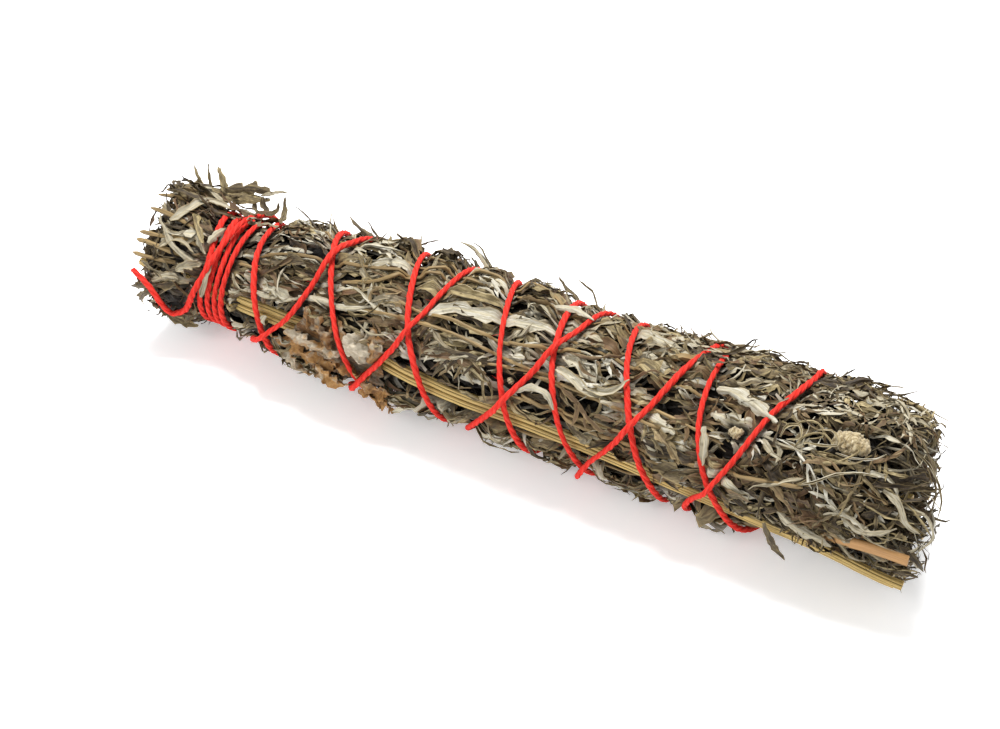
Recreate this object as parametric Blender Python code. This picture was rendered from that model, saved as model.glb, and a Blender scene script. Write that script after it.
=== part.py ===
"""A mugwort smudge stick: dried leafy sprigs and bare stalks, bound with red cotton string.

It lies on its side along X, its tied end at -X and its cut stalks at +X, on the surface z = 0.
Places round it are given as (x, angle, radius) in millimetres and degrees. The angle is measured
round the bundle's middle line from the front side (-Y), up over the top: 90 is the top and -90 is
underneath. Meshes are made in metres, +Z up.
"""

import math
import random

import bmesh
import bpy
import numpy as np
from mathutils import Matrix, Vector, noise

MM = 0.001

# The bundle along its length: place, radius to the string's middle, height of the bundle's middle.
PROFILE = (
    (-108, 14.0, 19.2),
    (-98, 15.4, 19.0),
    (-90, 14.6, 19.0),
    (-82, 13.7, 19.1),
    (-74, 15.0, 19.6),
    (-62, 17.0, 20.2),
    (-45, 18.4, 20.8),
    (-20, 19.0, 21.2),
    (0, 19.3, 21.3),
    (30, 19.4, 21.3),
    (60, 20.0, 21.7),
    (90, 20.8, 22.3),
    (104, 19.7, 22.3),
    (118, 16.2, 22.0),
)

# The string. Each row is one turn, as (angle, x) pairs from the top down the front, underneath and up
# the back. The first pass ties the left end and winds to the right. The second winds back over the
# first and once more round the tie. The free tail goes on from there, as (x, angle, radius).
STRING_RADIUS = 1.0
CROSSING_RISE = 2.6
CROSSING_REACH = 5.2
STRING_TOLERANCE = 0.48
FIRST_PASS = (
    ((170, -87.9), (118, -87.2), (46, -83.6), (-4, -84.4), (-90, -84.7), (-170, -85.0)),
    ((118, -84.0), (46, -81.4), (-4, -82.2), (-90, -82.4), (-170, -82.4)),
    ((118, -80.8), (46, -79.2), (-4, -80.0), (-90, -80.0), (-170, -79.6)),
    ((118, -77.4), (46, -77.0), (-4, -77.7), (-90, -77.2), (-170, -75.2)),
    ((102, -72.0), (67, -70.5), (34, -67.5), (-4, -63.9), (-90, -61.4), (-170, -57.0)),
    ((97, -52.3), (68, -48.1), (46, -44.7), (7, -38.9), (-19, -35.2), (-90, -32.8), (-170, -32.8)),
    ((125, -31.0), (71, -25.6), (42, -22.1), (13, -17.6), (-23, -13.4), (-90, -11.6), (-150, -9.6)),
    ((133, -5.6), (81, -0.6), (51, 2.5), (17, 6.4), (-29, 10.9), (-90, 12.2), (-160, 12.0)),
    ((127, 12.0), (79, 14.4), (49, 16.9), (30, 19.4), (2, 23.4), (-20, 26.6), (-90, 30.0), (-170, 30.2)),
    ((112, 30.2), (73, 33.6), (47, 37.4), (8, 43.2), (-20, 47.1), (-90, 48.4), (-170, 51.8)),
    ((95, 54.2), (70, 54.8), (43, 56.6), (24, 59.0), (1, 62.8), (-10, 64.7), (-90, 72.0), (-170, 75.6)),
)
SECOND_PASS = (
    ((128, 76.6), (90, 74.9), (70, 72.2), (30, 67.0), (6, 62.6), (-17, 57.2), (-90, 54.4), (-170, 50.4)),
    ((102, 49.0), (83, 47.4), (48, 43.5), (19, 38.2), (-29, 27.6), (-90, 23.6), (-170, 21.8)),
    ((119, 20.0), (74, 17.4), (50, 13.7), (13, 6.2), (-43, -5.7), (-90, -6.9), (-150, -12.4)),
    ((133, -16.8), (80, -18.0), (43, -21.5), (13, -27.4), (-42, -39.6), (-90, -41.4), (-170, -45.4)),
    ((106, -48.2), (61, -50.4), (16, -56.6), (-17, -66.5), (-90, -72.0), (-170, -75.8)),
    ((118, -79.2), (80, -79.8), (46, -81.6), (20, -84.0), (0, -86.3)),
)
TAIL = (
    (-89.3, -18, 15.9), (-91.9, -21, 17.0), (-93.8, -8, 17.7), (-96.5, 6, 17.9), (-99.8, 14, 17.9),
    (-102.6, 18.5, 17.9),
)

# Depths below the string's middle line: the leafy surface, the bare stalks' middles, and the bottom of
# the furrow that the stalks lie in. Where the brown leaf covers the stalks they lie deeper. The last
# three are the room between a leaf and other pieces, between two sprigs, and from a leaf to the
# string's middle.
LEAF_DEPTH = 2.6
STALK_DEPTH = 2.8
FURROW_DEPTH = 5.9
FURROW_HALF = 4.7
COVERED = (-56.0, -46.0, -32.0, -22.0)
COVERED_DIP = 1.3
BROWN_DEPTH = 1.62
MARGIN = 0.4
SPRIG_GAP = 0.45
CLEAR_OF_STRING = 1.78

# Six sprigs lie round one in the middle. Their borders wander along the bundle, and the first border
# follows the bare stalks along the lower front.
BORDER_ANGLES = (None, 70, 126, 182, 240, 298)
BORDER_WANDER = 5.0
STALK_ROUTE = (
    (-104, 26), (-90, 16), (-73, 9), (-62, 11), (-48, 9), (-28, 3), (-8, -4), (15, -5), (37, -10),
    (58, -19), (81, -27), (100, -31), (112, -33), (120, -34),
)
CORE_ENDS = (-95.0, 100.0)
CORE_PLACES = 17
MIDDLE_RADIUS = 5.3
INNER_RADIUS = 5.8
OUTSIDE_POINTS = 7
ROUGHNESS = (2.2, 0.9)

# Stalks inside, one to each outer sprig: where they lie round the middle, and their two ends.
STALK_RADIUS = 1.1
STALK_SEAT = 7.25
SEAT_ANGLES = (44, 98, 154, 211, 269, 314)
LEAST_LEAF_RADIUS = STALK_SEAT + STALK_RADIUS + 1.5
STALK_ENDS = (
    (-101.5, 107.5), (-99.5, 110.0), (-104.0, 105.0), (-98.5, 108.5), (-102.5, 106.0), (-100.0, 111.5),
)

# The bare ribbed stalks: two ends each, and how far each lies above or below their common route. The
# flat one lies beside them at the cut end, as (x, angle, radius).
BARE_RADIUS = 1.16
BARE_STALKS = (((-101.0, 111.4), 1.33), ((-103.5, 109.0), -1.33))
# Past the last turn of string they spring away from the leaves: from x to x, how far in all, how late it
# comes on, and how many degrees lower.
SPLAY_FROM, SPLAY_TO = 80.0, 112.0
SPLAY = 5.4
SPLAY_BEND = 1.7
SPLAY_TURN = -4.5
RIBS = 4
FLAT_STALK = ((87, -3.0, 19.4), (95, -2.0, 19.9), (104, -0.5, 19.6), (112.5, -0.8, 19.3))
FLAT_HALVES = (1.6, 0.75)

# Flower buds: x, angle, half length, half width, how many florets, a floret's radius.
BUDS = ((92.0, 66.0, 3.2, 1.6, 9, 1.6), (65.6, 49.0, 1.3, 0.8, 4, 1.05), (7.3, 31.0, 0.35, 0.3, 2, 0.8))

# The brown leaf: where it lies, and its edge as shares of its half width across.
BROWN_X = (-54.0, -28.0)
BROWN_MIDDLE = (0.0, -14.0)
BROWN_EDGES = (
    (0.25, 0.45), (0.95, 0.6), (0.7, 1.0), (1.0, 0.72), (0.72, 1.0), (1.0, 0.8), (0.62, 0.95), (0.85, 0.5),
    (0.3, 0.3),
)
BROWN_HALF = 33.0

# Leaves: (share of the length, half width on one side, half width on the other) from root to tip.
NARROW = ((0.0, 0.45, 0.45), (0.34, 1.0, 0.8), (0.68, 0.7, 1.0), (1.0, 0.14, 0.14))
LOBED = (
    (0.0, 0.3, 0.3), (0.24, 1.0, 0.4), (0.44, 0.4, 1.0), (0.64, 1.0, 0.35), (0.82, 0.3, 0.75),
    (1.0, 0.1, 0.1),
)
BROAD = (
    (0.0, 0.4, 0.4), (0.24, 1.0, 0.7), (0.42, 0.7, 1.0), (0.62, 1.0, 0.7), (0.82, 0.65, 0.9),
    (1.0, 0.2, 0.2),
)
LEAF_THICKNESS = 0.65
PRESSED = 0.5
LEAF_SPACING = 0.9
LEAVES_A_SPRIG = 17
LOBED_SHARE = 0.5
END_LEAVES = 5
LEAN = 17.0
SEED = 41

# Broad leaves underneath, pressed flat, that the bundle rests on: the middle's x, angle, length.
RESTING_LEAVES = (
    (-51.5, -90, 12), (-22.5, -83, 17), (2.5, -90, 17), (39.0, -79, 17), (39.0, -101, 17),
    (86.0, -79, 17), (86.0, -101, 17),
)
RESTING_HALF = 3.8
RESTING_HEIGHTS = (-1.4, 5.4, 6.4, 6.4, 5.6)

# Leaves that stand clear of the bundle: x, angle, heading, length, half width, heights from root to tip.
STANDING_LEAVES = (
    (1, -88.0, 112, 8, 15, 2.6, (-1.5, 3.0, 4.6, 5.0)),
    (1, -97.0, 118, 184, 12, 2.2, (-1.5, 2.0, 5.0, 8.0)),
    (1, -60.0, 118, 20, 12, 1.3, (-1.5, 1.0, 4.0, 6.0)),
    (1, -44.0, 116, 176, 13, 1.4, (-1.5, 1.0, 3.5, 6.5)),
    (1, -16.0, 118, 10, 13, 1.4, (-1.5, 1.0, 3.4, 5.5)),
    (0, 30.0, 60, 12, 16, 3.6, (-1.5, 1.6, 2.4, 1.8)),
    (5, 88.0, -46, -70, 12, 2.2, (-1.5, 2.0, 4.4, 5.0)),
)

COLLECTION = "mugwort_smudge_stick"
FINISHES = {
    "mugwort_leaf": ((0.168, 0.131, 0.078), 0.85),
    "mugwort_leaf_pale": ((0.254, 0.214, 0.141), 0.85),
    "mugwort_leaf_dark": ((0.105, 0.080, 0.048), 0.85),
    "dry_stalk": ((0.335, 0.235, 0.087), 0.7),
    "dark_stalk": ((0.120, 0.075, 0.035), 0.75),
    "orange_stalk": ((0.400, 0.228, 0.092), 0.7),
    "bud_wool": ((0.420, 0.355, 0.205), 0.95),
    "brown_leaf": ((0.325, 0.191, 0.090), 0.75),
    "red_cotton": ((0.640, 0.035, 0.022), 0.9),
}
SPRIG_FINISHES = (
    "mugwort_leaf", "mugwort_leaf_pale", "mugwort_leaf_dark", "mugwort_leaf", "mugwort_leaf_dark",
    "mugwort_leaf_pale", "mugwort_leaf_dark",
)


def smooth(knots, values, at):
    """A smooth curve through the values at the knots, read at the places asked for."""
    knots = np.asarray(knots, float)
    values = np.asarray(values, float)
    at = np.asarray(at, float)
    slopes = np.gradient(values, knots)
    i = np.clip(np.searchsorted(knots, at) - 1, 0, len(knots) - 2)
    width = knots[i + 1] - knots[i]
    t = np.clip((at - knots[i]) / width, 0, 1)
    blend = t * t * (3 - 2 * t)
    bend = t * (1 - t) * width * ((1 - t) * slopes[i] - t * slopes[i + 1])
    return (1 - blend) * values[i] + blend * values[i + 1] + bend


def string_radius(x):
    """The radius of the string's middle line at a place along the bundle."""
    return smooth([row[0] for row in PROFILE], [row[1] for row in PROFILE], x)


def middle_height(x):
    return smooth([row[0] for row in PROFILE], [row[2] for row in PROFILE], x)


def round_bundle(x, angle, radius):
    """The point in space, in mm, of a place given round the bundle's middle line."""
    turn = np.radians(angle)
    across = -radius * np.cos(turn)
    up = middle_height(x) + radius * np.sin(turn)
    return np.stack(np.broadcast_arrays(x, across, up), axis=-1)


def stalk_angle(x):
    """Where round the bundle the bare stalks lie."""
    return smooth([row[0] for row in STALK_ROUTE], [row[1] for row in STALK_ROUTE], x)


def covered_dip(x):
    """How much deeper the bare stalks lie at a place, under the brown leaf."""
    return COVERED_DIP * float(np.interp(x, COVERED, (0, 1, 1, 0)))


def border(index, x):
    """The angle of a sprig's lower border. Border 6 is border 0, one turn on."""
    if index % 6 == 0:
        return float(stalk_angle(x)) + 60 * index
    return BORDER_ANGLES[index] + BORDER_WANDER * math.sin(x / (16 + 2.1 * index) + 1.9 * index)


# The string


def unwound(rows, first_turn):
    """(angle, x) all along a pass of the string, with the angle falling all the way."""
    return [(angle - 360 * (first_turn + turn), x) for turn, row in enumerate(rows) for angle, x in row]


def string_line():
    """The string's middle line, in mm, as closely spaced points."""
    second = unwound(SECOND_PASS, len(FIRST_PASS))
    knots = np.array(unwound(FIRST_PASS, 0) + second, float)
    angle = np.arange(knots[0, 0], knots[-1, 0], -3.0)
    x = smooth(-knots[:, 0], knots[:, 1], -angle)
    radius = string_radius(x)
    over = angle < second[0][0]
    rise = np.zeros(len(x))
    for i in np.flatnonzero(over):
        turn = (angle[i] - angle[~over] + 180) % 360 - 180
        apart = np.hypot(x[i] - x[~over], np.radians(turn) * radius[i]).min()
        rise[i] = CROSSING_RISE * (0.5 + 0.5 * math.cos(math.pi * min(1, apart / CROSSING_REACH)))
    ease = np.hanning(7) / np.hanning(7).sum()
    line = round_bundle(x, angle, radius + np.convolve(rise, ease, mode="same"))
    knots = np.array([line[-9], line[-1]] + [round_bundle(*station) for station in TAIL])
    places = np.concatenate(([0], np.cumsum(np.linalg.norm(np.diff(knots, axis=0), axis=1))))
    steps = np.arange(places[1] + 1.0, places[-1], 1.0)
    tail = np.stack([smooth(places, knots[:, axis], steps) for axis in range(3)], axis=-1)
    return np.concatenate((line, tail))


def thinned(points, tolerance):
    """Fewer points along a line, which stays this close to where it was."""
    first, last = points[0], points[-1]
    along = last - first
    share = np.clip((points - first) @ along / max(along @ along, 1e-9), 0, 1)
    away = np.linalg.norm(points - first - share[:, None] * along, axis=1)
    worst = int(away.argmax())
    if away[worst] < tolerance:
        return [first, last]
    return thinned(points[: worst + 1], tolerance)[:-1] + thinned(points[worst:], tolerance)


def dense(points):
    """Points every millimetre or so along a line."""
    found = []
    for near, far in zip(points[:-1], points[1:]):
        count = max(2, int(np.linalg.norm(np.subtract(far, near))))
        found.extend(np.linspace(near, far, count, endpoint=False))
    return np.array(found + [points[-1]])


# Objects


def finish(name):
    """The material of this name, made once."""
    made = bpy.data.materials.get(name)
    if made:
        return made
    colour, roughness = FINISHES[name]
    made = bpy.data.materials.new(name)
    made.use_nodes = True
    surface = made.node_tree.nodes["Principled BSDF"]
    surface.inputs["Base Color"].default_value = (*colour, 1.0)
    surface.inputs["Roughness"].default_value = roughness
    surface.inputs["Metallic"].default_value = 0.0
    made.diffuse_color = (*colour, 1.0)
    return made


def mesh_object(name, points, faces, home, surface=None):
    """An object of a closed mesh, with points in mm."""
    mesh = bpy.data.meshes.new(name)
    mesh.from_pydata([Vector(point) * MM for point in points], [], faces)
    work = bmesh.new()
    work.from_mesh(mesh)
    bmesh.ops.recalc_face_normals(work, faces=work.faces)
    work.to_mesh(mesh)
    work.free()
    if surface:
        mesh.materials.append(finish(surface))
    made = bpy.data.objects.new(name, mesh)
    home.objects.link(made)
    return made


def tube(name, points, radius, home, surface, section=None, resolution=1):
    """A curve object with filled caps along points in mm, round or of a section of its own."""
    curve = bpy.data.curves.new(name, "CURVE")
    curve.dimensions = "3D"
    curve.use_fill_caps = True
    if section:
        curve.bevel_mode = "OBJECT"
        curve.bevel_object = section
    else:
        curve.bevel_depth = radius * MM
        curve.bevel_resolution = resolution
    spline = curve.splines.new("POLY")
    spline.points.add(len(points) - 1)
    for place, point in zip(spline.points, points):
        place.co = (*(Vector(point) * MM), 1.0)
    curve.materials.append(finish(surface))
    made = bpy.data.objects.new(name, curve)
    home.objects.link(made)
    return made


def section_curve(name, outline, guides):
    """A closed outline in mm, hidden, that a tube takes as its section."""
    curve = bpy.data.curves.new(name, "CURVE")
    curve.dimensions = "2D"
    curve.fill_mode = "NONE"
    spline = curve.splines.new("POLY")
    spline.points.add(len(outline) - 1)
    for place, (across, up) in zip(spline.points, outline):
        place.co = (across * MM, up * MM, 0.0, 1.0)
    spline.use_cyclic_u = True
    made = bpy.data.objects.new(name, curve)
    made.hide_render = True
    made.display_type = "WIRE"
    guides.objects.link(made)
    return made


def new_collection(name):
    made = bpy.data.collections.new(name)
    bpy.context.scene.collection.children.link(made)
    return made


def fused(base, others):
    """Joins a collection's objects to the base and removes them. Only the one whole body is kept."""
    union = base.modifiers.new("fused", "BOOLEAN")
    union.operation = "UNION"
    union.operand_type = "COLLECTION"
    union.collection = others
    union.solver = "MANIFOLD"
    graph = bpy.context.evaluated_depsgraph_get()
    base.data = bpy.data.meshes.new_from_object(base.evaluated_get(graph))
    base.modifiers.remove(union)
    for other in list(others.objects):
        bpy.data.objects.remove(other)
    bpy.data.collections.remove(others)
    keep_whole_body(base)
    return base


def keep_whole_body(made):
    """Drops loose scraps, and the walls of hollows that fusing sealed."""
    work = bmesh.new()
    work.from_mesh(made.data)
    left = set(work.verts)
    bodies = []
    while left:
        body = set()
        waiting = [left.pop()]
        while waiting:
            vertex = waiting.pop()
            body.add(vertex)
            near = {edge.other_vert(vertex) for edge in vertex.link_edges} & left
            left -= near
            waiting.extend(near)
        bodies.append(body)
    whole = max(bodies, key=len)
    loose = [vertex for vertex in work.verts if vertex not in whole]
    bmesh.ops.delete(work, geom=loose, context="VERTS")
    bmesh.ops.triangulate(work, faces=work.faces)
    work.to_mesh(made.data)
    work.free()


def loft(rings):
    """Points and faces of a closed solid through rings of equally many points. The last side is split
    into triangles the other way, so that the facing sides of two neighbouring sprigs match."""
    sides = len(rings[0])
    points = [point for ring in rings for point in ring]
    faces = [tuple(range(sides)), tuple(range(len(points) - sides, len(points)))]
    for start in range(0, len(points) - sides, sides):
        for k in range(sides):
            after = (k + 1) % sides
            a, b, c, d = start + k, start + after, start + sides + after, start + sides + k
            faces += [(a, b, d), (b, c, d)] if k == sides - 1 else [(a, b, c), (a, c, d)]
    return points, faces


class Surroundings:
    """What leaves keep clear of: the string, and the pieces that lie on the bundle, as balls."""

    def __init__(self, string):
        self.string = string
        self.balls = np.column_stack((string, np.full(len(string), CLEAR_OF_STRING)))

    def add(self, points, clear):
        balls = np.column_stack((points, np.full(len(points), clear)))
        self.balls = np.concatenate((self.balls, balls))

    def reach_string(self, point):
        """How far a point is from the string's middle line."""
        return float(np.linalg.norm(self.string - point, axis=1).min())

    def room(self, point):
        """From 0 right beside the string to 1 well clear of it."""
        return min(1.0, max(0.0, self.reach_string(point) / LEAF_DEPTH - 1))

    def clash(self, points):
        widest = self.balls[:, 3].max()
        left, right = points[:, 0].min() - widest, points[:, 0].max() + widest
        near = self.balls[(self.balls[:, 0] > left) & (self.balls[:, 0] < right)]
        away = near[None, :, :3] - points[:, None, :]
        return bool((np.einsum("ijk,ijk->ij", away, away) < near[:, 3] ** 2).any())


# Leaves


def leaf_rings(around, shape, root, heading, length, width, heights, curl, sector):
    """A leaf's (outer, inner) points at both edges of each station from root to tip. They keep inside
    the sprig's sector, and above the surface that the bundle lies on."""
    turn = math.radians(heading)
    reach = np.linspace(0, 1, len(heights))
    rings = []
    for share, *halves in shape:
        height = float(np.interp(share, reach, heights))
        if height > PRESSED:
            centre = leaf_place(root, turn, share * length, 0)
            height = PRESSED + (height - PRESSED) * around.room(round_bundle(*centre))
        edges = []
        for side, half in zip((1, -1), halves):
            across = side * half * width
            x, angle, radius = leaf_place(root, turn, share * length, across)
            radius = float(string_radius(x)) - LEAF_DEPTH + height + curl * share * across
            edges.append([x, angle, radius])
        if sector is not None:
            for edge in edges:
                edge[2] = max(edge[2], LEAST_LEAF_RADIUS)
            push_inside(edges, sector)
        rings.append([edge_points(*edge) for edge in edges])
    return np.array(rings)


def leaf_place(root, turn, along, across):
    """(x, angle, radius) of a place on a leaf, as if it lay on the leafy surface."""
    x = root[0] + along * math.cos(turn) - across * math.sin(turn)
    radius = max(root[2], 3.0)
    sweep = math.degrees((along * math.sin(turn) + across * math.cos(turn)) / radius)
    return x, root[1] + sweep, radius


def push_inside(edges, sector):
    """Moves both edges of a leaf's station round the bundle until they are inside the sprig's sector."""
    spare = [math.degrees(SPRIG_GAP / radius) for _, _, radius in edges]
    short = [border(sector, edge[0]) + room - edge[1] for edge, room in zip(edges, spare)]
    past = [edge[1] + room - border(sector + 1, edge[0]) for edge, room in zip(edges, spare)]
    move = max(0, *short) - max(0, *past)
    for edge in edges:
        edge[1] += move


def edge_points(x, angle, radius):
    """The outer and inner point of a leaf's edge, above the surface that the bundle lies on."""
    outer = round_bundle(x, angle, radius)
    inner = round_bundle(x, angle, radius - LEAF_THICKNESS)
    if outer[2] < 0:
        outer[2] = 0
        inner[2] = max(inner[2], LEAF_THICKNESS)
    return outer, inner


def leaf_mesh(rings):
    """A leaf's points and triangles, split alike on its outer and inner faces."""
    points = rings.reshape(-1, 3)
    faces = []
    for start in range(0, len(points) - 4, 4):
        a, b, c, d = start, start + 2, start + 6, start + 4
        faces += [(a, b, c), (a, c, d), (a + 1, c + 1, b + 1), (a + 1, d + 1, c + 1)]
        faces += [(a, d, d + 1), (a, d + 1, a + 1), (b, c + 1, c), (b, b + 1, c + 1)]
    tip = len(points) - 4
    faces += [(0, 1, 3), (0, 3, 2), (tip, tip + 3, tip + 1), (tip, tip + 2, tip + 3)]
    return points, faces


def leaf_samples(rings):
    """Points spread over a leaf's faces."""
    found = []
    for near, far in zip(rings[:-1], rings[1:]):
        for t in (0.0, 0.25, 0.5, 0.75, 1.0):
            edge = near * (1 - t) + far * t
            for u in (0.0, 0.33, 0.67, 1.0):
                found.extend(edge[0] * (1 - u) + edge[1] * u)
    return np.array(found)


def add_leaf(leaves, around, shape, root, heading, length, width, heights, curl, sector):
    """Adds a leaf, pressed flatter until it is clear of everything else, and says whether it could."""
    x, angle = root
    root = (x, angle, float(string_radius(x)) - LEAF_DEPTH + max(heights[1], -9))
    for press in (0.0, 0.4, 0.7, 1.0):
        pressed = [height if height < 0 else height * (1 - press) + PRESSED * press for height in heights]
        rings = leaf_rings(around, shape, root, heading, length, width, pressed, curl * (1 - press), sector)
        samples = leaf_samples(rings)
        if not around.clash(samples):
            mesh_object("leaf", *leaf_mesh(rings), leaves)
            around.add(samples[stands_out(samples)], LEAF_SPACING)
            return True
    return False


def stands_out(points):
    """Which of these points lie outside the leafy surface, or past its ends."""
    x = points[:, 0]
    radius = np.hypot(points[:, 1], points[:, 2] - middle_height(x))
    past = (x < CORE_ENDS[0]) | (x > CORE_ENDS[1])
    return past | (radius > string_radius(x) - LEAF_DEPTH + 0.2)


def add_side_leaves(leaves, around, index, draw):
    """Leaves pressed along a sprig, most of them pointing to the nearer end."""
    left, right = CORE_ENDS
    placed = 0
    for attempt in range(LEAVES_A_SPRIG * 5):
        if placed == LEAVES_A_SPRIG:
            break
        x = left + 6 + (right - left - 12) * ((attempt * 0.618034) % 1)
        forward = draw.random() < 0.5 + x / 150
        lobed = draw.random() < LOBED_SHARE
        length = draw.uniform(15, 22)
        width = draw.uniform(3.2, 4.6) if lobed else draw.uniform(1.5, 2.5)
        lift = draw.uniform(2.2, 4.4)
        placed += add_leaf(
            leaves,
            around,
            LOBED if lobed else NARROW,
            (x, draw.uniform(border(index, x) + 8, border(index + 1, x) - 8)),
            draw.gauss(0 if forward else 180, LEAN),
            length,
            width,
            (-1.6, lift * 0.7, lift, lift * draw.uniform(0.5, 1.3)),
            draw.uniform(-0.3, 0.3),
            index,
        )


def add_end_leaves(leaves, around, index, draw):
    """Leaves that reach out past both ends of a sprig, some deep inside and some near its outside."""
    for end, heading, lengths in ((CORE_ENDS[0], 180, (14, 19)), (CORE_ENDS[1], 0, (17, 27))):
        x = end - math.copysign(8, end)
        low, high = border(index, x), border(index + 1, x)
        for k in range(END_LEAVES):
            depth = -(k * 2 % 3) * 2.2
            lift = draw.uniform(0.0, 2.4)
            lobed = k % 3 == 1
            add_leaf(
                leaves,
                around,
                LOBED if lobed else NARROW,
                (x, low + (high - low) * (k + 0.5) / END_LEAVES),
                heading + draw.uniform(-14, 14),
                draw.uniform(*lengths),
                3.2 if lobed else draw.uniform(1.3, 2.1),
                (-1.5 + depth, 0.3 + depth, lift + depth * 0.6, lift + depth * 0.4),
                draw.uniform(-0.2, 0.2),
                index,
            )


def add_chosen_leaves(leaves, around, index):
    """The leaves that stand clear of the bundle, and those underneath that it rests on."""
    for sprig, x, angle, heading, length, width, heights in STANDING_LEAVES:
        if sprig == index:
            shape = LOBED if width > 2 else NARROW
            add_leaf(leaves, around, shape, (x, angle), heading, length, width, heights, 0.1, index)
    for x, angle, length in RESTING_LEAVES:
        if border(index, x) < angle % 360 < border(index + 1, x):
            root = (x - length / 2, angle % 360)
            add_leaf(leaves, around, BROAD, root, 0, length, RESTING_HALF, RESTING_HEIGHTS, 0, index)


# Sprigs


def sprig_section(index, x, rough):
    """A sprig's outline at a place along the bundle: its leafy outside, and a seat inside for its stalk."""
    low, high = border(index, x), border(index + 1, x)
    middle = float(string_radius(x))
    top = middle - LEAF_DEPTH
    furrow = math.degrees(FURROW_HALF / top)
    bottom = middle - FURROW_DEPTH - 1.3 * covered_dip(x)
    shares = np.linspace(0, 1, OUTSIDE_POINTS)
    outer = [[low + (high - low) * share, top - depth] for share, depth in zip(shares, rough)]
    if index == 0:
        outer[0][1] = bottom
        outer[1] = [low + furrow, top]
    if index == 5:
        outer[-1][1] = bottom
        outer[-2] = [high - furrow, top]
    outer[0][0] += math.degrees(SPRIG_GAP / 2 / outer[0][1])
    outer[-1][0] -= math.degrees(SPRIG_GAP / 2 / outer[-1][1])
    half = STALK_RADIUS + 0.5
    seat = SEAT_ANGLES[index]
    spare = math.degrees(SPRIG_GAP / 2 / INNER_RADIUS)
    deep = STALK_SEAT + half
    inner = [(high - spare, INNER_RADIUS)]
    for radius, side in ((INNER_RADIUS, 1), (deep, 1), (deep, -1), (INNER_RADIUS, -1)):
        inner.append((seat + side * math.degrees(math.asin(half / radius)), radius))
    inner.append((low + spare, INNER_RADIUS))
    return [round_bundle(x, angle, radius) for angle, radius in outer + inner]


def outer_sprig(index, home, around):
    """A sprig on the outside of the bundle, a wedge of leaves with single leaves standing out of it."""
    draw = random.Random(SEED + index)
    rings = []
    for x in np.linspace(*CORE_ENDS, CORE_PLACES):
        slack = min(1, max(0.2, (float(string_radius(x)) - 14) / 3))
        rough = [draw.uniform(0, ROUGHNESS[k % 2]) * slack for k in range(OUTSIDE_POINTS)]
        rings.append(sprig_section(index, float(x), rough))
    core = mesh_object(f"leafy_sprig_{index + 1}", *loft(rings), home, SPRIG_FINISHES[index])
    leaves = new_collection("leaves")
    add_chosen_leaves(leaves, around, index)
    add_side_leaves(leaves, around, index, draw)
    add_end_leaves(leaves, around, index, draw)
    return fused(core, leaves)


def middle_sprig(home, around):
    """The sprig along the middle. Its leaves show only at the two ends."""
    rings = []
    for x in np.linspace(*CORE_ENDS, 6):
        rings.append([round_bundle(x, 45.0 * k + 20, MIDDLE_RADIUS) for k in range(8)])
    core = mesh_object("leafy_sprig_7", *loft(rings), home, SPRIG_FINISHES[6])
    leaves = new_collection("leaves")
    draw = random.Random(SEED + 6)
    for end, heading, length in ((CORE_ENDS[0], 180, 15), (CORE_ENDS[1], 0, 20)):
        x = end - math.copysign(6, end)
        base = -float(string_radius(x)) + LEAF_DEPTH
        for k in range(5):
            heights = (base + 3.2, base + 3.6, base + 4.4, base + 5.4)
            root = (x, 72 * k + draw.uniform(-12, 12))
            reach = length * draw.uniform(0.8, 1.15)
            add_leaf(leaves, around, NARROW, root, heading, reach, 1.7, heights, 0.1, None)
    return fused(core, leaves)


# Stalks, buds, the brown leaf and the string


def inner_stalk_points(index):
    return [round_bundle(x, SEAT_ANGLES[index], STALK_SEAT) for x in np.linspace(*STALK_ENDS[index], 9)]


def inner_stalk(index, home):
    surface = "dark_stalk" if index in (1, 3) else "dry_stalk"
    return tube(f"stalk_{index + 1}", inner_stalk_points(index), STALK_RADIUS, home, surface)


def bare_stalk_points(index):
    """A bare stalk's middle line. Past the last turn of string it springs away from the leaves."""
    (left, right), beside = BARE_STALKS[index]
    points = []
    for x in np.linspace(left, right, 20):
        share = min(1.0, max(0.0, (x - SPLAY_FROM) / (SPLAY_TO - SPLAY_FROM)))
        radius = float(string_radius(x)) - STALK_DEPTH - covered_dip(x) + SPLAY * share ** SPLAY_BEND
        angle = float(stalk_angle(x)) + math.degrees(beside / radius) + SPLAY_TURN * share
        points.append(round_bundle(x, angle, radius))
    return points


def bare_stalk(index, home, section):
    return tube(f"front_stalk_{index + 1}", bare_stalk_points(index), 0, home, "dry_stalk", section)


def ribbed_outline():
    """A round outline with ribs, for the bare stalks."""
    outline = []
    for k in range(2 * RIBS):
        radius = BARE_RADIUS * (1.0 if k % 2 else 0.84)
        turn = -math.pi * k / RIBS
        outline.append((radius * math.cos(turn), radius * math.sin(turn)))
    return outline


def flat_stalk_rings():
    """The flat stalk's sections, with its broad side facing out."""
    knots = np.array(FLAT_STALK, float)
    rings = []
    for x in np.linspace(knots[0, 0], knots[-1, 0], 6):
        angle = float(smooth(knots[:, 0], knots[:, 1], x))
        radius = float(smooth(knots[:, 0], knots[:, 2], x))
        ring = []
        for k in range(8):
            turn = math.pi * k / 4 + math.pi / 8
            sweep = math.degrees(FLAT_HALVES[0] * math.cos(turn) / radius)
            ring.append(round_bundle(x, angle + sweep, radius + FLAT_HALVES[1] * math.sin(turn)))
        rings.append(ring)
    return rings


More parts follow.
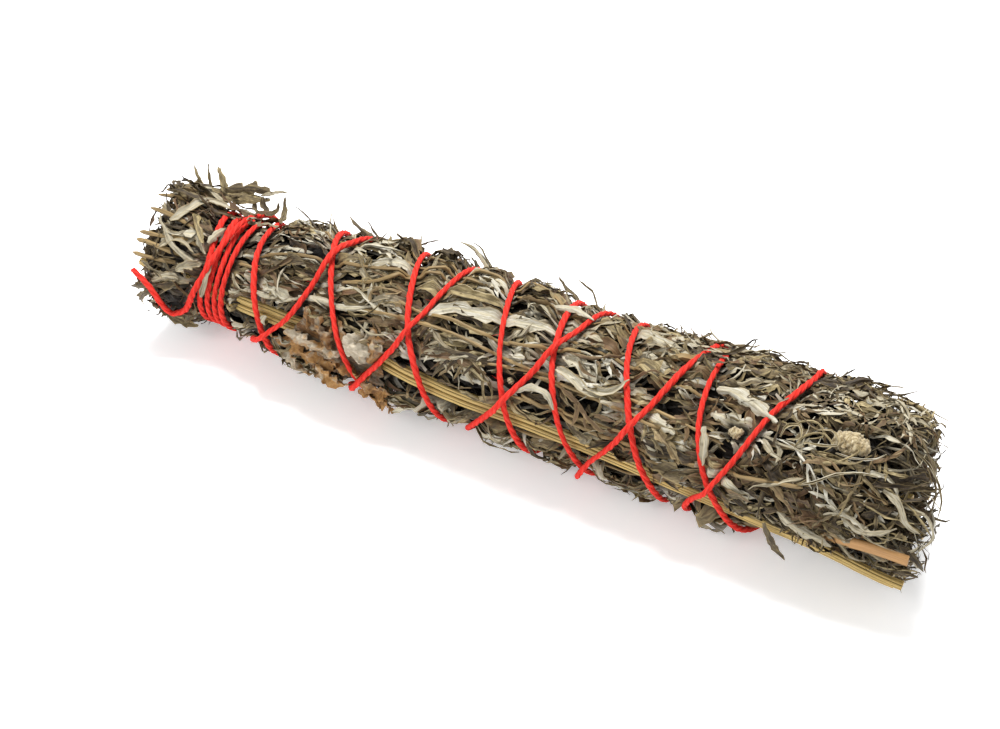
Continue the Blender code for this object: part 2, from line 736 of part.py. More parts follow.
def bud_cluster(index, home):
    """A cluster of woolly florets, closest together in its middle."""
    x, angle, long, wide, count, size = BUDS[index]
    base = float(string_radius(x)) - LEAF_DEPTH + MARGIN
    draw = random.Random(10 * SEED + index)
    florets = new_collection("florets")
    made = []
    for k in range(count):
        out = math.sqrt((k + 0.5) / count)
        turn = 2.399963 * k
        floret = size * draw.uniform(0.88, 1.12)
        height = base + floret * 1.08 + (1 - out) * size * 0.9
        across = math.degrees(wide * out * math.sin(turn) / height)
        centre = round_bundle(x + long * out * math.cos(turn), angle + across, height)
        mesh = bpy.data.meshes.new("floret")
        work = bmesh.new()
        bmesh.ops.create_icosphere(work, subdivisions=1, radius=floret * MM)
        bmesh.ops.transform(work, matrix=Matrix.Rotation(draw.uniform(0, 3), 4, "X"), verts=work.verts)
        bmesh.ops.transform(work, matrix=Matrix.Diagonal((1.2, 1.0, 1.0, 1.0)), verts=work.verts)
        bmesh.ops.translate(work, vec=Vector(centre) * MM, verts=work.verts)
        work.to_mesh(mesh)
        work.free()
        made.append(bpy.data.objects.new("floret", mesh))
    base_object = made[0]
    base_object.name = f"bud_cluster_{index + 1}"
    base_object.data.materials.append(finish("bud_wool"))
    home.objects.link(base_object)
    for floret in made[1:]:
        florets.objects.link(floret)
    return fused(base_object, florets)


def brown_leaf_rings(around):
    """The crumpled brown leaf: stations along it, each with outer and inner points across it."""
    stations = np.linspace(*BROWN_X, len(BROWN_EDGES))
    middles = np.linspace(*BROWN_MIDDLE, len(BROWN_EDGES))
    rings = []
    for x, middle, (above, below) in zip(stations, middles, BROWN_EDGES):
        ring = []
        for share in np.linspace(1, -1, 9):
            half = BROWN_HALF * (above if share > 0 else below)
            angle = middle + share * half
            low = float(string_radius(x)) - BROWN_DEPTH
            room = around.room(round_bundle(x, angle, low))
            crumple = 2.4 * room * (0.5 + noise.noise(Vector((x * 0.16, angle * 0.05, 3.7))))
            outer = low + max(0, crumple)
            ring.append((round_bundle(x, angle, outer), round_bundle(x, angle, outer - LEAF_THICKNESS)))
        rings.append(ring)
    return rings


def sheet_mesh(rings):
    """Points and triangles of a thin sheet, split alike on its outer and inner faces."""
    wide = len(rings[0])
    points = [point for ring in rings for pair in ring for point in pair]
    faces = []

    def at(row, column, inner=0):
        return 2 * (row * wide + column) + inner

    for row in range(len(rings) - 1):
        for column in range(wide - 1):
            a, b = at(row, column), at(row, column + 1)
            c, d = at(row + 1, column + 1), at(row + 1, column)
            faces += [(a, b, c), (a, c, d), (a + 1, c + 1, b + 1), (a + 1, d + 1, c + 1)]
    border_line = [at(0, k) for k in range(wide)] + [at(row, wide - 1) for row in range(1, len(rings))]
    border_line += [at(len(rings) - 1, k) for k in range(wide - 2, -1, -1)]
    border_line += [at(row, 0) for row in range(len(rings) - 2, 0, -1)]
    for near, far in zip(border_line, border_line[1:] + border_line[:1]):
        faces += [(near, far + 1, far), (near, near + 1, far + 1)]
    return points, faces


def build():
    for old in list(bpy.data.objects):
        bpy.data.objects.remove(old)
    home = new_collection(COLLECTION)
    guides = new_collection("guides")
    string = string_line()
    tube("binding_string", thinned(string, STRING_TOLERANCE), STRING_RADIUS, home, "red_cotton")
    around = Surroundings(string)

    section = section_curve("ribbed_section", ribbed_outline(), guides)
    for index in range(len(BARE_STALKS)):
        bare_stalk(index, home, section)
        around.add(dense(bare_stalk_points(index)), BARE_RADIUS + MARGIN)
    flat = flat_stalk_rings()
    mesh_object("front_stalk_3", *loft(flat), home, "orange_stalk")
    around.add(dense([np.mean(ring, axis=0) for ring in flat]), FLAT_HALVES[0] + MARGIN)
    for index in range(6):
        inner_stalk(index, home)
        bare = dense(inner_stalk_points(index))
        past = (bare[:, 0] < CORE_ENDS[0]) | (bare[:, 0] > CORE_ENDS[1])
        around.add(bare[past], STALK_RADIUS + MARGIN)
    for index in range(len(BUDS)):
        cluster = bud_cluster(index, home)
        around.add([np.array(vertex.co) / MM for vertex in cluster.data.vertices], 1.0)
    brown = brown_leaf_rings(around)
    mesh_object("brown_leaf", *sheet_mesh(brown), home, "brown_leaf")
    around.add(np.array(brown).reshape(-1, 3), 1.9)

    for index in range(6):
        outer_sprig(index, home, around)
    middle_sprig(home, around)


build()
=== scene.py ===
"""The looks of a mugwort smudge stick: thousands of dry curled leaves, ribbed stalks, woolly buds and a
crumpled brown leaf, bound with a twisted red cotton string.

Places round the stick are given as (x, angle, radius) in millimetres and degrees. The angle goes round
the bundle's middle line from the front side (-Y), up over the top: 90 is the top, -90 is underneath.
"""

import math

import bpy
import numpy as np
from bpy.props import FloatProperty, FloatVectorProperty, IntProperty, PointerProperty
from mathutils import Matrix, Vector, kdtree


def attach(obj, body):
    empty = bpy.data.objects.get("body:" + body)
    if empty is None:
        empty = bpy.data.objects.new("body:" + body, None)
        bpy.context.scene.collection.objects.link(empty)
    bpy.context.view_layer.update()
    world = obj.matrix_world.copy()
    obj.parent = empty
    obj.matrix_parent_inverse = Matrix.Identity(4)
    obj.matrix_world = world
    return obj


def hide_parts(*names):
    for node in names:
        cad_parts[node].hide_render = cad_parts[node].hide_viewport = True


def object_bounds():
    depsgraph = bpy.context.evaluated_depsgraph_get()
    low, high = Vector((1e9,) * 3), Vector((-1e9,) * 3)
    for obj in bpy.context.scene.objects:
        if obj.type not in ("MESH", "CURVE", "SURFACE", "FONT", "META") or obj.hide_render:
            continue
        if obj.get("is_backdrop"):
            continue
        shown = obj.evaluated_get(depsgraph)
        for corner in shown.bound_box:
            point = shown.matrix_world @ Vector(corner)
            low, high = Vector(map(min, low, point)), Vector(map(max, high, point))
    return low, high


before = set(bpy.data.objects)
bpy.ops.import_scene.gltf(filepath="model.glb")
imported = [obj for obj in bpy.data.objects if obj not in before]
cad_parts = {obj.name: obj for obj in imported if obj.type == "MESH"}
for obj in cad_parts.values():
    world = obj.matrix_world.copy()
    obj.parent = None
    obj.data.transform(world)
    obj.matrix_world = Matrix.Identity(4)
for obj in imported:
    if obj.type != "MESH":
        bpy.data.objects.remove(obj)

bl_info = {
    "name": "Mugwort smudge stick",
    "version": (1, 0, 0),
    "blender": (4, 5, 0),
    "location": "3D View > Sidebar > Smudge stick",
    "description": "Makes the leaves, stalks, buds and binding string of a dried herb bundle",
    "category": "Add Mesh",
}

MM = 0.001
CAD_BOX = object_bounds()
BODY = "root"
# Each light: its name, where it hangs in metres, how wide it is, and its share of the main light's power.
LIGHTS = (
    ("key_light", (-0.10, 0.22, 0.95), 0.32, 1.0),
    ("front_light", (-0.45, -0.70, 0.70), 0.45, 0.22),
)

# The bundle along its length: place, radius to the string's middle, height of the bundle's middle.
PROFILE = (
    (-108, 14.0, 19.2), (-98, 15.4, 19.0), (-90, 14.6, 19.0), (-82, 13.7, 19.1), (-74, 15.0, 19.6),
    (-62, 17.0, 20.2), (-45, 18.4, 20.8), (-20, 19.0, 21.2), (0, 19.3, 21.3), (30, 19.4, 21.3),
    (60, 20.0, 21.7), (90, 20.8, 22.3), (104, 19.7, 22.3), (118, 16.2, 22.0),
)

# A later turn of string rises this far over an earlier one, from this far away.
CROSSING_RISE = 2.6
CROSSING_REACH = 5.2
# The string's turns, as (angle, x) from the top down the front, underneath and up the back. The tail's
# places are (x, angle, radius).
FIRST_PASS = (
    ((170, -87.9), (118, -87.2), (46, -83.6), (-4, -84.4), (-90, -84.7), (-170, -85.0)),
    ((118, -84.0), (46, -81.4), (-4, -82.2), (-90, -82.4), (-170, -82.4)),
    ((118, -80.8), (46, -79.2), (-4, -80.0), (-90, -80.0), (-170, -79.6)),
    ((118, -77.4), (46, -77.0), (-4, -77.7), (-90, -77.2), (-170, -75.2)),
    ((102, -72.0), (67, -70.5), (34, -67.5), (-4, -63.9), (-90, -61.4), (-170, -57.0)),
    ((97, -52.3), (68, -48.1), (46, -44.7), (7, -38.9), (-19, -35.2), (-90, -32.8), (-170, -32.8)),
    ((125, -31.0), (71, -25.6), (42, -22.1), (13, -17.6), (-23, -13.4), (-90, -11.6), (-150, -9.6)),
    ((133, -5.6), (81, -0.6), (51, 2.5), (17, 6.4), (-29, 10.9), (-90, 12.2), (-160, 12.0)),
    ((127, 12.0), (79, 14.4), (49, 16.9), (30, 19.4), (2, 23.4), (-20, 26.6), (-90, 30.0), (-170, 30.2)),
    ((112, 30.2), (73, 33.6), (47, 37.4), (8, 43.2), (-20, 47.1), (-90, 48.4), (-170, 51.8)),
    ((95, 54.2), (70, 54.8), (43, 56.6), (24, 59.0), (1, 62.8), (-10, 64.7), (-90, 72.0), (-170, 75.6)),
)
SECOND_PASS = (
    ((128, 76.6), (90, 74.9), (70, 72.2), (30, 67.0), (6, 62.6), (-17, 57.2), (-90, 54.4), (-170, 50.4)),
    ((102, 49.0), (83, 47.4), (48, 43.5), (19, 38.2), (-29, 27.6), (-90, 23.6), (-170, 21.8)),
    ((119, 20.0), (74, 17.4), (50, 13.7), (13, 6.2), (-43, -5.7), (-90, -6.9), (-150, -12.4)),
    ((133, -16.8), (80, -18.0), (43, -21.5), (13, -27.4), (-42, -39.6), (-90, -41.4), (-170, -45.4)),
    ((106, -48.2), (61, -50.4), (16, -56.6), (-17, -66.5), (-90, -72.0), (-170, -75.8)),
    ((118, -79.2), (80, -79.8), (46, -81.6), (20, -84.0), (0, -86.3)),
)
TAIL = (
    (-89.3, -18, 15.9), (-91.9, -21, 17.0), (-93.8, -8, 17.7), (-96.5, 6, 17.9), (-99.8, 14, 17.9),
    (-102.6, 18.5, 17.9),
)

# The two bare stalks' common route along the lower front, as (x, angle).
STALK_ROUTE = (
    (-104, 26), (-90, 16), (-73, 9), (-62, 11), (-48, 9), (-28, 3), (-8, -4), (15, -5), (37, -10),
    (58, -19), (81, -27), (100, -31), (112, -33), (120, -34),
)
BARE_RADIUS = 1.16
# Each bare stalk's two ends, and how far it lies to one side of the route.
BARE_STALKS = (((-101.0, 111.4), 1.33), ((-103.5, 109.0), -1.33))
# How deep they lie under the string, and how much deeper where the brown leaf covers them.
STALK_DEPTH = 2.8
COVERED = (-56.0, -46.0, -32.0, -22.0)
COVERED_DIP = 1.3
# Past the last turn of string they spring away from the leaves: from x to x, how far in all, how late it
# comes on, and how many degrees lower.
SPLAY_FROM, SPLAY_TO = 80.0, 112.0
SPLAY = 5.4
SPLAY_BEND = 1.7
SPLAY_TURN = -4.5
# The leaves' bed for them: how deep, half how wide, and how much wider, flatter and shallower at the right.
BED_DEPTH = 5.2
BED_HALF = 2.55
BED_WIDER = 0.9
BED_FLATTER = 1.4
BED_BELOW = 3.4
# A stalk's cut end from the pith out, as (share of its radius, how far it is sunk in mm).
STALK_CUT = ((0.05, 0.35), (0.5, 0.30), (0.62, 0.0), (0.93, 0.0))
# The flat stalk at the right end, as (x, angle, radius), half its width and thickness, and how high the
# leaves beside it may stand.
FLAT_WIDE, FLAT_THICK = 1.55, 0.7
FLAT_BED = 18.3
FLAT_STALK = ((87, -3.0, 19.4), (95, -2.0, 19.9), (104, -0.5, 19.6), (112.5, -0.8, 19.3))

# Stalks inside, one to each outer sprig: their radius, how far they lie from the bundle's middle line and
# at what angles, which ones are dark, and both ends of each.
STALK_RADIUS = 1.1
STALK_SEAT = 7.25
SEAT_ANGLES = (44, 98, 154, 211, 269, 314)
DARK_STALKS = (1, 3)
STALK_ENDS = (
    (-101.5, 107.5), (-99.5, 110.0), (-104.0, 105.0), (-98.5, 108.5), (-102.5, 106.0), (-100.0, 111.5),
)

# The six outer sprigs: the angle at which each begins, and how far this wanders. The first follows the
# bare stalks.
BORDER_ANGLES = (None, 70, 126, 182, 240, 298)
BORDER_WANDER = 5.0
# The pressed core of each: its ends, how deep it lies under the string, and how far out it starts.
CORE_ENDS = (-95.0, 100.0)
CORE_DEPTH = 6.2
CORE_INNER = 6.3
# The sprig in the middle: its core's radius, how far out its tips grow, and how many there are an end.
MIDDLE_CORE = 5.0
MIDDLE_TIPS = (0.5, 6.0)
MIDDLE_COUNT = 60
# How softly leaves come to rest under the string, in mm.
SOFTNESS = 0.55
# How light each finish of the leaves is, and the finish of each sprig, the middle one last.
LEAF_SHADES = {"mugwort_leaf": 0.0, "mugwort_leaf_pale": 0.03, "mugwort_leaf_dark": -0.04}
SPRIG_SLOTS = (
    "mugwort_leaf", "mugwort_leaf_pale", "mugwort_leaf_dark", "mugwort_leaf", "mugwort_leaf_dark",
    "mugwort_leaf_pale", "mugwort_leaf_dark",
)

# The brown leaf's lowest layer: where it lies and how wide, in mm along and degrees round, how deep, and
# its two edges as shares of its half width.
BROWN_X = (-54.0, -28.0)
BROWN_MIDDLE = (0.0, -14.0)
BROWN_HALF = 33.0
BROWN_DEPTH = 1.62
BROWN_EDGES = (
    (0.25, 0.45), (0.95, 0.6), (0.7, 1.0), (1.0, 0.72), (0.72, 1.0), (1.0, 0.8), (0.62, 0.95), (0.85, 0.5),
    (0.3, 0.3),
)

# Flower buds: x, angle, half length, half width, florets, a floret's radius. The florets are set out in a
# spiral, each turned this far from the last.
GOLDEN_TURN = 2.399963
BUDS = ((92.0, 66.0, 3.9, 1.9, 17, 1.4), (65.6, 49.0, 1.3, 0.8, 5, 0.95), (7.3, 31.0, 0.35, 0.3, 2, 0.75))

# Stretches of the bundle over which something changes, from x to x: where the leaves draw in under the bare
# stalks, where those stalks' bed starts and ends, where leaves get narrower and more bent, fewer or darker
# towards an end, and where the painted shade between leaves gets deeper or opens.
BARE_END = (66, 78)
BED_LEFT, BED_RIGHT = (-76, -71), (108, 112)
RIGHT_END, LEFT_END, LEFT_DARK = (60, 85), (-83, -89), (-80, -88)
LEFT_SHADE, MIDDLE_SHADE = (-84, -92), (-25, -55)
LEFT_FACE, RIGHT_FACE = (-94, -100), (97, 108)

# Kinds of leaf. Lengths, half widths, crumples and lifts are in mm, rolls, twists, bends and folds in
# radians. The stations and columns say how finely a leaf is made.
LEAF_KINDS = {
    "strap": dict(
        stations=12, columns=5, length=(8, 20), half=(0.55, 1.25), roll=(0.3, 1.6), fold=0.45, twist=0.75,
        bend=0.45, crumple=0.42, teeth=0, tooth=0.0, lift=1.3,
    ),
    "broad": dict(
        stations=20, columns=7, length=(12, 25), half=(1.5, 2.9), roll=(0.2, 1.0), fold=0.35, twist=0.4,
        bend=0.28, crumple=0.6, teeth=3, tooth=0.6, lift=1.1,
    ),
    "rolled": dict(
        stations=11, columns=5, length=(8, 20), half=(0.5, 0.95), roll=(1.8, 2.7), fold=0.0, twist=0.8,
        bend=0.85, crumple=0.35, teeth=0, tooth=0.0, lift=1.8,
    ),
    "crumb": dict(
        stations=5, columns=3, length=(2.0, 5.5), half=(0.45, 1.2), roll=(0.3, 1.8), fold=0.4, twist=1.4,
        bend=1.2, crumple=0.3, teeth=0, tooth=0.0, lift=1.0,
    ),
    "lobe": dict(
        stations=7, columns=3, length=(3.0, 7.5), half=(0.4, 0.8), roll=(0.2, 1.4), fold=0.3, twist=0.6,
        bend=0.6, crumple=0.3, teeth=0, tooth=0.0, lift=1.2,
    ),
    "flap": dict(
        stations=30, columns=17, length=(10, 16), half=(3, 5), roll=(0.5, 1.2), fold=0.15, twist=0.15,
        bend=0.1, crumple=1.25, teeth=2, tooth=0.12, lift=0.5,
    ),
}
# How fine the leaves below the top ones are.
HIDDEN_DETAIL = {
    "strap": dict(stations=8, columns=3),
    "broad": dict(stations=12, columns=5),
    "rolled": dict(stations=8, columns=4),
}
LEAF_THICKNESS = 0.14
# The share of each kind over the outer sprigs, how deep under the string they lie and how far they puff up
# between its turns, on top or hidden.
OUTER_SHARES = {"strap": 0.47, "broad": 0.09, "rolled": 0.27, "crumb": 0.17}
TOP_DEPTH, HIDDEN_DEPTH = (-0.1, 1.0), (2.0, 5.2)
TOP_PUFF, HIDDEN_PUFF = (0.7, 2.9), (0.2, 1.6)
LEAVES_A_SPRIG = (1500, 1350, 850, 850, 850, 1300)
# How many of them show the pale side, as (x, share).
PALE_SHARES = ((-105, 0.1), (-90, 0.15), (-70, 0.38), (-20, 0.46), (40, 0.42), (75, 0.28), (115, 0.2))
# Leaves that lie over the string curl at least this freely, from 0 to 1.
LEAST_ROOM_OVER = 0.85
# The tips at the left end, -1, and the right, 1: the share of each kind, how many are pale, how much
# darker they are, and how many times as many the two lowest sprigs have.
TIP_KINDS = {-1: (("strap", 0.4), ("rolled", 0.4), ("broad", 0.2)), 1: (("strap", 0.42), ("rolled", 0.58))}
TIP_PALE = {-1: 0.1, 1: 0.22}
TIP_TONE = {-1: -0.28, 1: 0.0}
MORE_TIPS = {(1, 4): 2, (1, 5): 2}
# Tufts: the share of each kind, and how much darker they are.
TUFT_KINDS = (("strap", 0.5), ("broad", 0.2), ("rolled", 0.3))
TUFT_TONE = -0.3

# Leaves that the eye picks out: the sprig, the kind, half width, pale side, tone, warmth, and points on
# the midrib as (x, angle, height above the string's middle).
CHOSEN_LEAVES = (
    (2, "broad", 3.3, 0, 0.6, 0.2, ((-106, 117, 1.4), (-102, 128, 2), (-96, 134, 2.4), (-90, 134, 4),
        (-84, 132, 6), (-78, 127, 6.6))),
    (2, "broad", 2.0, 0, 0.35, 0.2, ((-93, 134, 4.4), (-88, 134, 7.0), (-85, 132, 8.4), (-78, 127, 8.6))),
    (2, "strap", 0.9, 0, 0.7, 0.2, ((-98.3, 132, 2.6), (-100.4, 130, 5.5), (-102.7, 130, 8.2))),
    (2, "strap", 0.8, 0, 0.7, 0.3, ((-96.6, 135, 2.8), (-98, 132, 6.3), (-99, 129, 9.6))),
    (2, "strap", 1.0, 0, 0.75, 0.3, ((-92.6, 135, 3.6), (-94.4, 134, 6.8), (-96.7, 134, 9.4))),
    (2, "strap", 0.9, 1, 0.35, 0.2, ((-81, 127, 7.4), (-78.4, 127, 8.6), (-76, 127, 9.0),
        (-73.7, 127, 8.6))),
    (2, "strap", 1.0, 0, 0.5, 0.3, ((-71, 112, 1.0), (-72.9, 127, 3.2), (-74, 128, 7.4))),
    (2, "strap", 1.1, 0, 0.3, 0.4, ((-80.6, 127, 7.0), (-79.3, 128, 4.5), (-77, 128, 2.6), (-75.3, 128, 3.5),
        (-75.3, 128, 5.7))),
    (2, "strap", 0.9, 0, 0.35, 0.4, ((-84, 132, 6.2), (-82.8, 132, 4.3), (-79.2, 128, 2.1),
        (-77.6, 128, 2.5))),
    (1, "strap", 1.3, 1, 0.35, 0.2, ((-97, 70, 1.6), (-94.5, 86, 2), (-93.4, 104, 2), (-91.5, 114, 2),
        (-87, 119, 1.6))),
    (1, "strap", 1.2, 1, 0.25, 0.3, ((-93.5, 66, 1.5), (-91.8, 84, 1.7), (-90.6, 105, 1.5))),
    (0, "strap", 1.4, 1, 0.3, 0.2, ((-91.4, 72, 1.3), (-87.8, 65, 1.7), (-84.4, 52, 1.4))),
    (0, "strap", 1.0, 1, 0.25, 0.2, ((-97, 43, 1.3), (-93.4, 54, 1.8), (-90.6, 55, 1.8), (-87.6, 49, 1.4))),
    (0, "broad", 1.7, 1, 0.15, 0.2, ((-97, 12, 1.3), (-93.1, 21, 1.7), (-89.5, 21, 1.4))),
    (0, "broad", 1.6, 1, 0.25, 0.2, ((-91, 29, 1.4), (-88.2, 36, 1.7), (-84.5, 42, 1.2))),
    (0, "strap", 1.0, 1, 0.25, 0.1, ((-82.6, 10, 1.9), (-81.9, 33, 2.3), (-82.1, 54, 1.8))),
    (1, "strap", 1.2, 1, 0.35, 0.1, ((-85, 63, 1.9), (-83.9, 72, 2.3), (-82.8, 84, 1.8))),
    (0, "strap", 1.1, 0, 0.4, 0.2, ((-96.4, 9, 0.8), (-101.5, -2, 0.9), (-105.8, -14, 0.4))),
    (5, "broad", 1.3, 0, 0.3, 0.3, ((-96, 2, 0.5), (-100.5, -10, 0.8), (-104, -36, 1.2))),
    (5, "broad", 1.9, 0, 0.5, 0.3, ((-97.5, -34, 0.4), (-92.5, -44, 1.6), (-87.5, -46, 2.4))),
    (5, "strap", 1.1, 0, 0.4, 0.2, ((-85.8, -14, 0.6), (-89.6, -36, 1.0), (-91.3, -48, 3.3))),
    (1, "rolled", 0.6, 0, 0.2, 0.3, ((-57.6, 105, -0.4), (-63, 120, 1.4), (-66, 128, 2.6),
        (-70.6, 128, 5.3))),
    (1, "rolled", 0.4, 1, 0.4, 0.2, ((-55.8, 109, -0.4), (-59.2, 126, 2.4), (-60.1, 128, 4.9))),
    (2, "strap", 0.8, 0, 0.4, 0.2, ((-44, 130, -0.4), (-50.6, 131, 1.8), (-55.3, 131, 4.4))),
    (2, "rolled", 0.5, 0, 0.3, 0.3, ((-43, 131, -0.4), (-47.3, 131, 2.2), (-50.1, 131, 4.4))),
    (2, "rolled", 0.5, 0, 0.3, 0.3, ((-36, 133, -0.4), (-33.3, 133, 2.7), (-29.3, 132, 4.4))),
    (2, "rolled", 0.4, 0, 0.3, 0.3, ((-34, 133, -0.2), (-34.4, 133, 3.3), (-35, 132, 5.4))),
    (2, "strap", 0.9, 1, 0.4, 0.2, ((-13, 131, 0.3), (-17, 133, 3.3), (-19.9, 133, 5.1), (-23.6, 132, 5.4))),
    (2, "rolled", 0.6, 1, 0.4, 0.3, ((-12, 131, 0.4), (-15.9, 133, 3.6), (-18, 133, 5.6),
        (-20.5, 132, 6.2))),
    (2, "strap", 0.9, 0, 0.4, 0.3, ((12, 130, 0.2), (9.8, 133, 1.6), (7.1, 133, 2.4), (4.3, 133, 4.6))),
    (2, "rolled", 0.6, 1, 0.3, 0.3, ((17, 130, 0.2), (13.7, 133, 3.6), (11, 133, 4.5), (9, 133, 5.6))),
    (1, "broad", 2.4, 1, 0.62, 0.1, ((-20, 60, 0.4), (-16, 63, 1.2), (-12.9, 67, 1.3), (-8, 70, 1.2),
        (1, 73, 0.9), (9.6, 75, 1.2), (17, 77, 0.4))),
    (1, "broad", 1.9, 1, 0.57, 0.1, ((-39, 82, 0.3), (-36.2, 86, 1.0), (-33, 90, 1.3), (-27, 90, 0.4))),
    (1, "broad", 2.1, 0, 0.75, 0.2, ((-25, 76, 0.3), (-20, 79, 1.0), (-14, 82, 1.1), (-8, 84, 0.9),
        (0, 84, 0.2))),
    (1, "broad", 1.7, 1, 0.47, 0.2, ((-19, 109, 0.4), (-13.4, 111, 1.2), (-7.4, 106, 1.2), (-1, 100, 0.3))),
    (1, "broad", 2.2, 1, 0.62, 0.1, ((57, 73, 0.4), (61, 73, 1.6), (66, 70, 1.8), (74, 63, 0.5))),
    (0, "strap", 1.5, 1, 0.57, 0.1, ((18, 51, 0.2), (22.9, 48, 1.6), (26.8, 43, 1.8), (33, 42, 0.5))),
    (0, "strap", 1.3, 1, 0.57, 0.1, ((26, 47, 0.3), (32.2, 46, 1.8), (35.2, 51, 2.2), (36.4, 60, 1.2))),
    (0, "strap", 1.4, 1, 0.52, 0.1, ((-54, 40, 0.3), (-47.7, 43, 1.3), (-39.9, 43, 1.2), (-32, 52, 0.3))),
    (0, "strap", 1.6, 1, 0.47, 0.1, ((-69, 31, 0.1), (-63, 33, 1.2), (-57.8, 34, 1.3), (-52, 41, 0.4))),
    (5, "broad", 1.6, 1, 0.37, 0.2, ((-62.4, 16, 0.6), (-64, 2, 1.4), (-64, -20, 1.0))),
    (1, "strap", 1.3, 1, 0.57, 0.1, ((9.5, 99, 0.6), (14.4, 101, 1.6), (20.5, 98, 0.8))),
    (0, "strap", 1.1, 1, 0.37, 0.1, ((58.2, 46, 1.9), (59.7, 35, 2.2), (60.4, 22, 1.6))),
    (0, "broad", 1.8, 0, 0.6, 0.9, ((-14, 39, 0.2), (-8.5, 36, 1.2), (-4, 35, 1.2), (1, 31, 0.3))),
    (0, "strap", 1.4, 1, 0.57, 0.2, ((9.6, 26, 0.3), (14.4, 34, 1.6), (18.4, 32, 1.8), (20.3, 23, 0.8))),
    (1, "strap", 1.4, 1, 0.47, 0.1, ((30, 104, 0.3), (36.6, 99, 1.3), (46, 96, 0.3))),
    (0, "strap", 1.6, 1, 0.47, 0.2, ((58, 19, 0.3), (65.7, 16, 1.4), (72, 8, 0.6))),
    (0, "broad", 1.7, 1, 0.45, 0.2, ((80, 8, 0.5), (84, 3, 1.4), (89, -1, 1.5), (94.4, -6, 1.0))),
    (0, "strap", 1.1, 1, 0.3, 0.3, ((96, 18, 0.6), (100, 14, 1.5), (105, 16, 1.4), (108.5, 22, 0.9))),
    (0, "strap", 1.0, 0, 0.2, 0.4, ((110, 8, 0.2), (114, -2, 0.7), (115.8, -14, 0.6))),
    (5, "strap", 1.2, 0, 0.15, 0.4, ((106, -20, 0.2), (111, -20, 1.0), (114.6, -24, 0.8))),
    (5, "strap", 0.9, 0, 0.3, 0.3, ((77, -8, 0.4), (79, -22, 1.2), (80, -36, 1.8), (81.6, -48, 3.0))),
    (2, "rolled", 0.5, 0, 0.15, 0.4, ((86, 134, 0.2), (92, 134, 1.3), (99, 134, 1.0), (108, 136, 1.1))),
    (2, "rolled", 0.5, 0, 0.2, 0.4, ((82, 130, 0.2), (88, 133, 1.8), (96.1, 134, 3.6))),
    (2, "rolled", 0.45, 0, 0.2, 0.4, ((90, 118, 0.2), (95.3, 134, 1.6), (99.1, 134, 4.1))),
    (1, "rolled", 0.7, 0, 0.35, 0.6, ((104, 96, 0.2), (109, 80, 0.8), (112.6, 66, 0.7), (114.4, 50, 0.5),
        (114.4, 36, 0.2))),
    (0, "rolled", 0.7, 0, 0.3, 0.6, ((106, 78, 0.2), (112, 68, 0.8), (116, 50, 0.6), (116.2, 38, 0.0))),
    (0, "rolled", 0.7, 1, 0.3, 0.6, ((108, 38, 0.2), (114, 36, 0.6), (116.5, 22, 0.4), (114, 6, 0.2))),
    (0, "rolled", 0.7, 0, 0.55, 0.3, ((84, 30, 0.6), (88, 36, 1.3), (92, 44, 1.5), (98, 50, 1.2),
        (101, 51, 0.6))),
    (0, "rolled", 0.55, 0, 0.9, 0.45, ((80, 50, 0.2), (82, 60, 1.5), (86, 64, 1.8), (89, 59, 1.5),
        (87, 54, 1.1))),
    (0, "rolled", 0.55, 0, 0.9, 0.45, ((78, 62, 0.3), (80, 68, 1.6), (84, 69, 1.9), (86, 63, 1.6),
        (83, 59, 1.2))),
    (0, "rolled", 0.55, 0, 0.9, 0.45, ((84, 47, 0.6), (89, 48, 1.6), (93, 54, 1.9), (95, 62, 1.7),
        (91, 68, 1.0))),
    (0, "rolled", 0.55, 0, 0.9, 0.45, ((76, 55, 0.4), (77, 62, 1.7), (80, 64, 2.0), (81, 58, 1.7),
        (78, 54, 1.3))),
    (0, "rolled", 0.55, 0, 0.9, 0.45, ((90, 56, 1.0), (95, 56, 1.8), (99, 60, 1.8), (101, 66, 1.2))),
    (0, "rolled", 0.55, 0, 0.95, 0.45, ((82, 56, 0.8), (86, 57, 1.9), (90, 61, 2.2), (88, 67, 2.0),
        (84, 66, 1.5))),
    (0, "rolled", 0.5, 0, 0.85, 0.5, ((86, 52, 1.0), (91, 51, 2.0), (96, 55, 2.2), (98, 62, 1.6))),
    (0, "strap", 1.2, 1, 0.37, 0.3, ((103, 44, 0.4), (107.5, 39, 1.3), (110.5, 27, 1.3), (113.5, 22, 0.5))),
)

# Where the leaf tips end, as (angle, x).
LEFT_TIPS = (
    (-90, -99.5), (-38, -99.5), (-12, -102), (22, -100.5), (51, -100.5), (110, -104.5), (150, -104.5),
    (200, -101), (270, -99.5),
)
RIGHT_TIPS = (
    (-90, 109), (-48, 111), (-25, 114.5), (-5, 116), (15, 116), (45, 116.5), (75, 113), (136, 106),
    (180, 107), (270, 106),
)
# Tips crowd up over this last stretch.
TIP_CROWD = 5.0

# Tufts that stand higher than the rest: the sprig, x from and to, angle from and to, height, how many
# leaves, and whether they may lie over the string.
TUFTS = (
    (2, -107, -80, 108, 142, 5.2, 46, True),
    (1, -104, -88, 84, 118, 2.4, 14, True),
    (2, -74, -52, 122, 146, 2.2, 34, False),
    (2, -50, -36, 120, 150, 2.4, 50, False),
    (2, -36, 2, 120, 150, 3.4, 110, False),
    (2, 10, 52, 122, 150, 2.0, 70, False),
    (1, 41, 58, 100, 126, 2.6, 34, True),
    (2, 41, 62, 126, 150, 2.6, 34, True),
    (1, 68, 84, 98, 126, 2.6, 34, True),
    (2, 66, 84, 126, 146, 2.4, 26, True),
    (0, -104, -92, 30, 66, 1.8, 14, True),
    (5, -100, -86, -60, -20, 1.6, 24, False),
    (0, 62, 104, -8, 44, 1.3, 90, False),
)

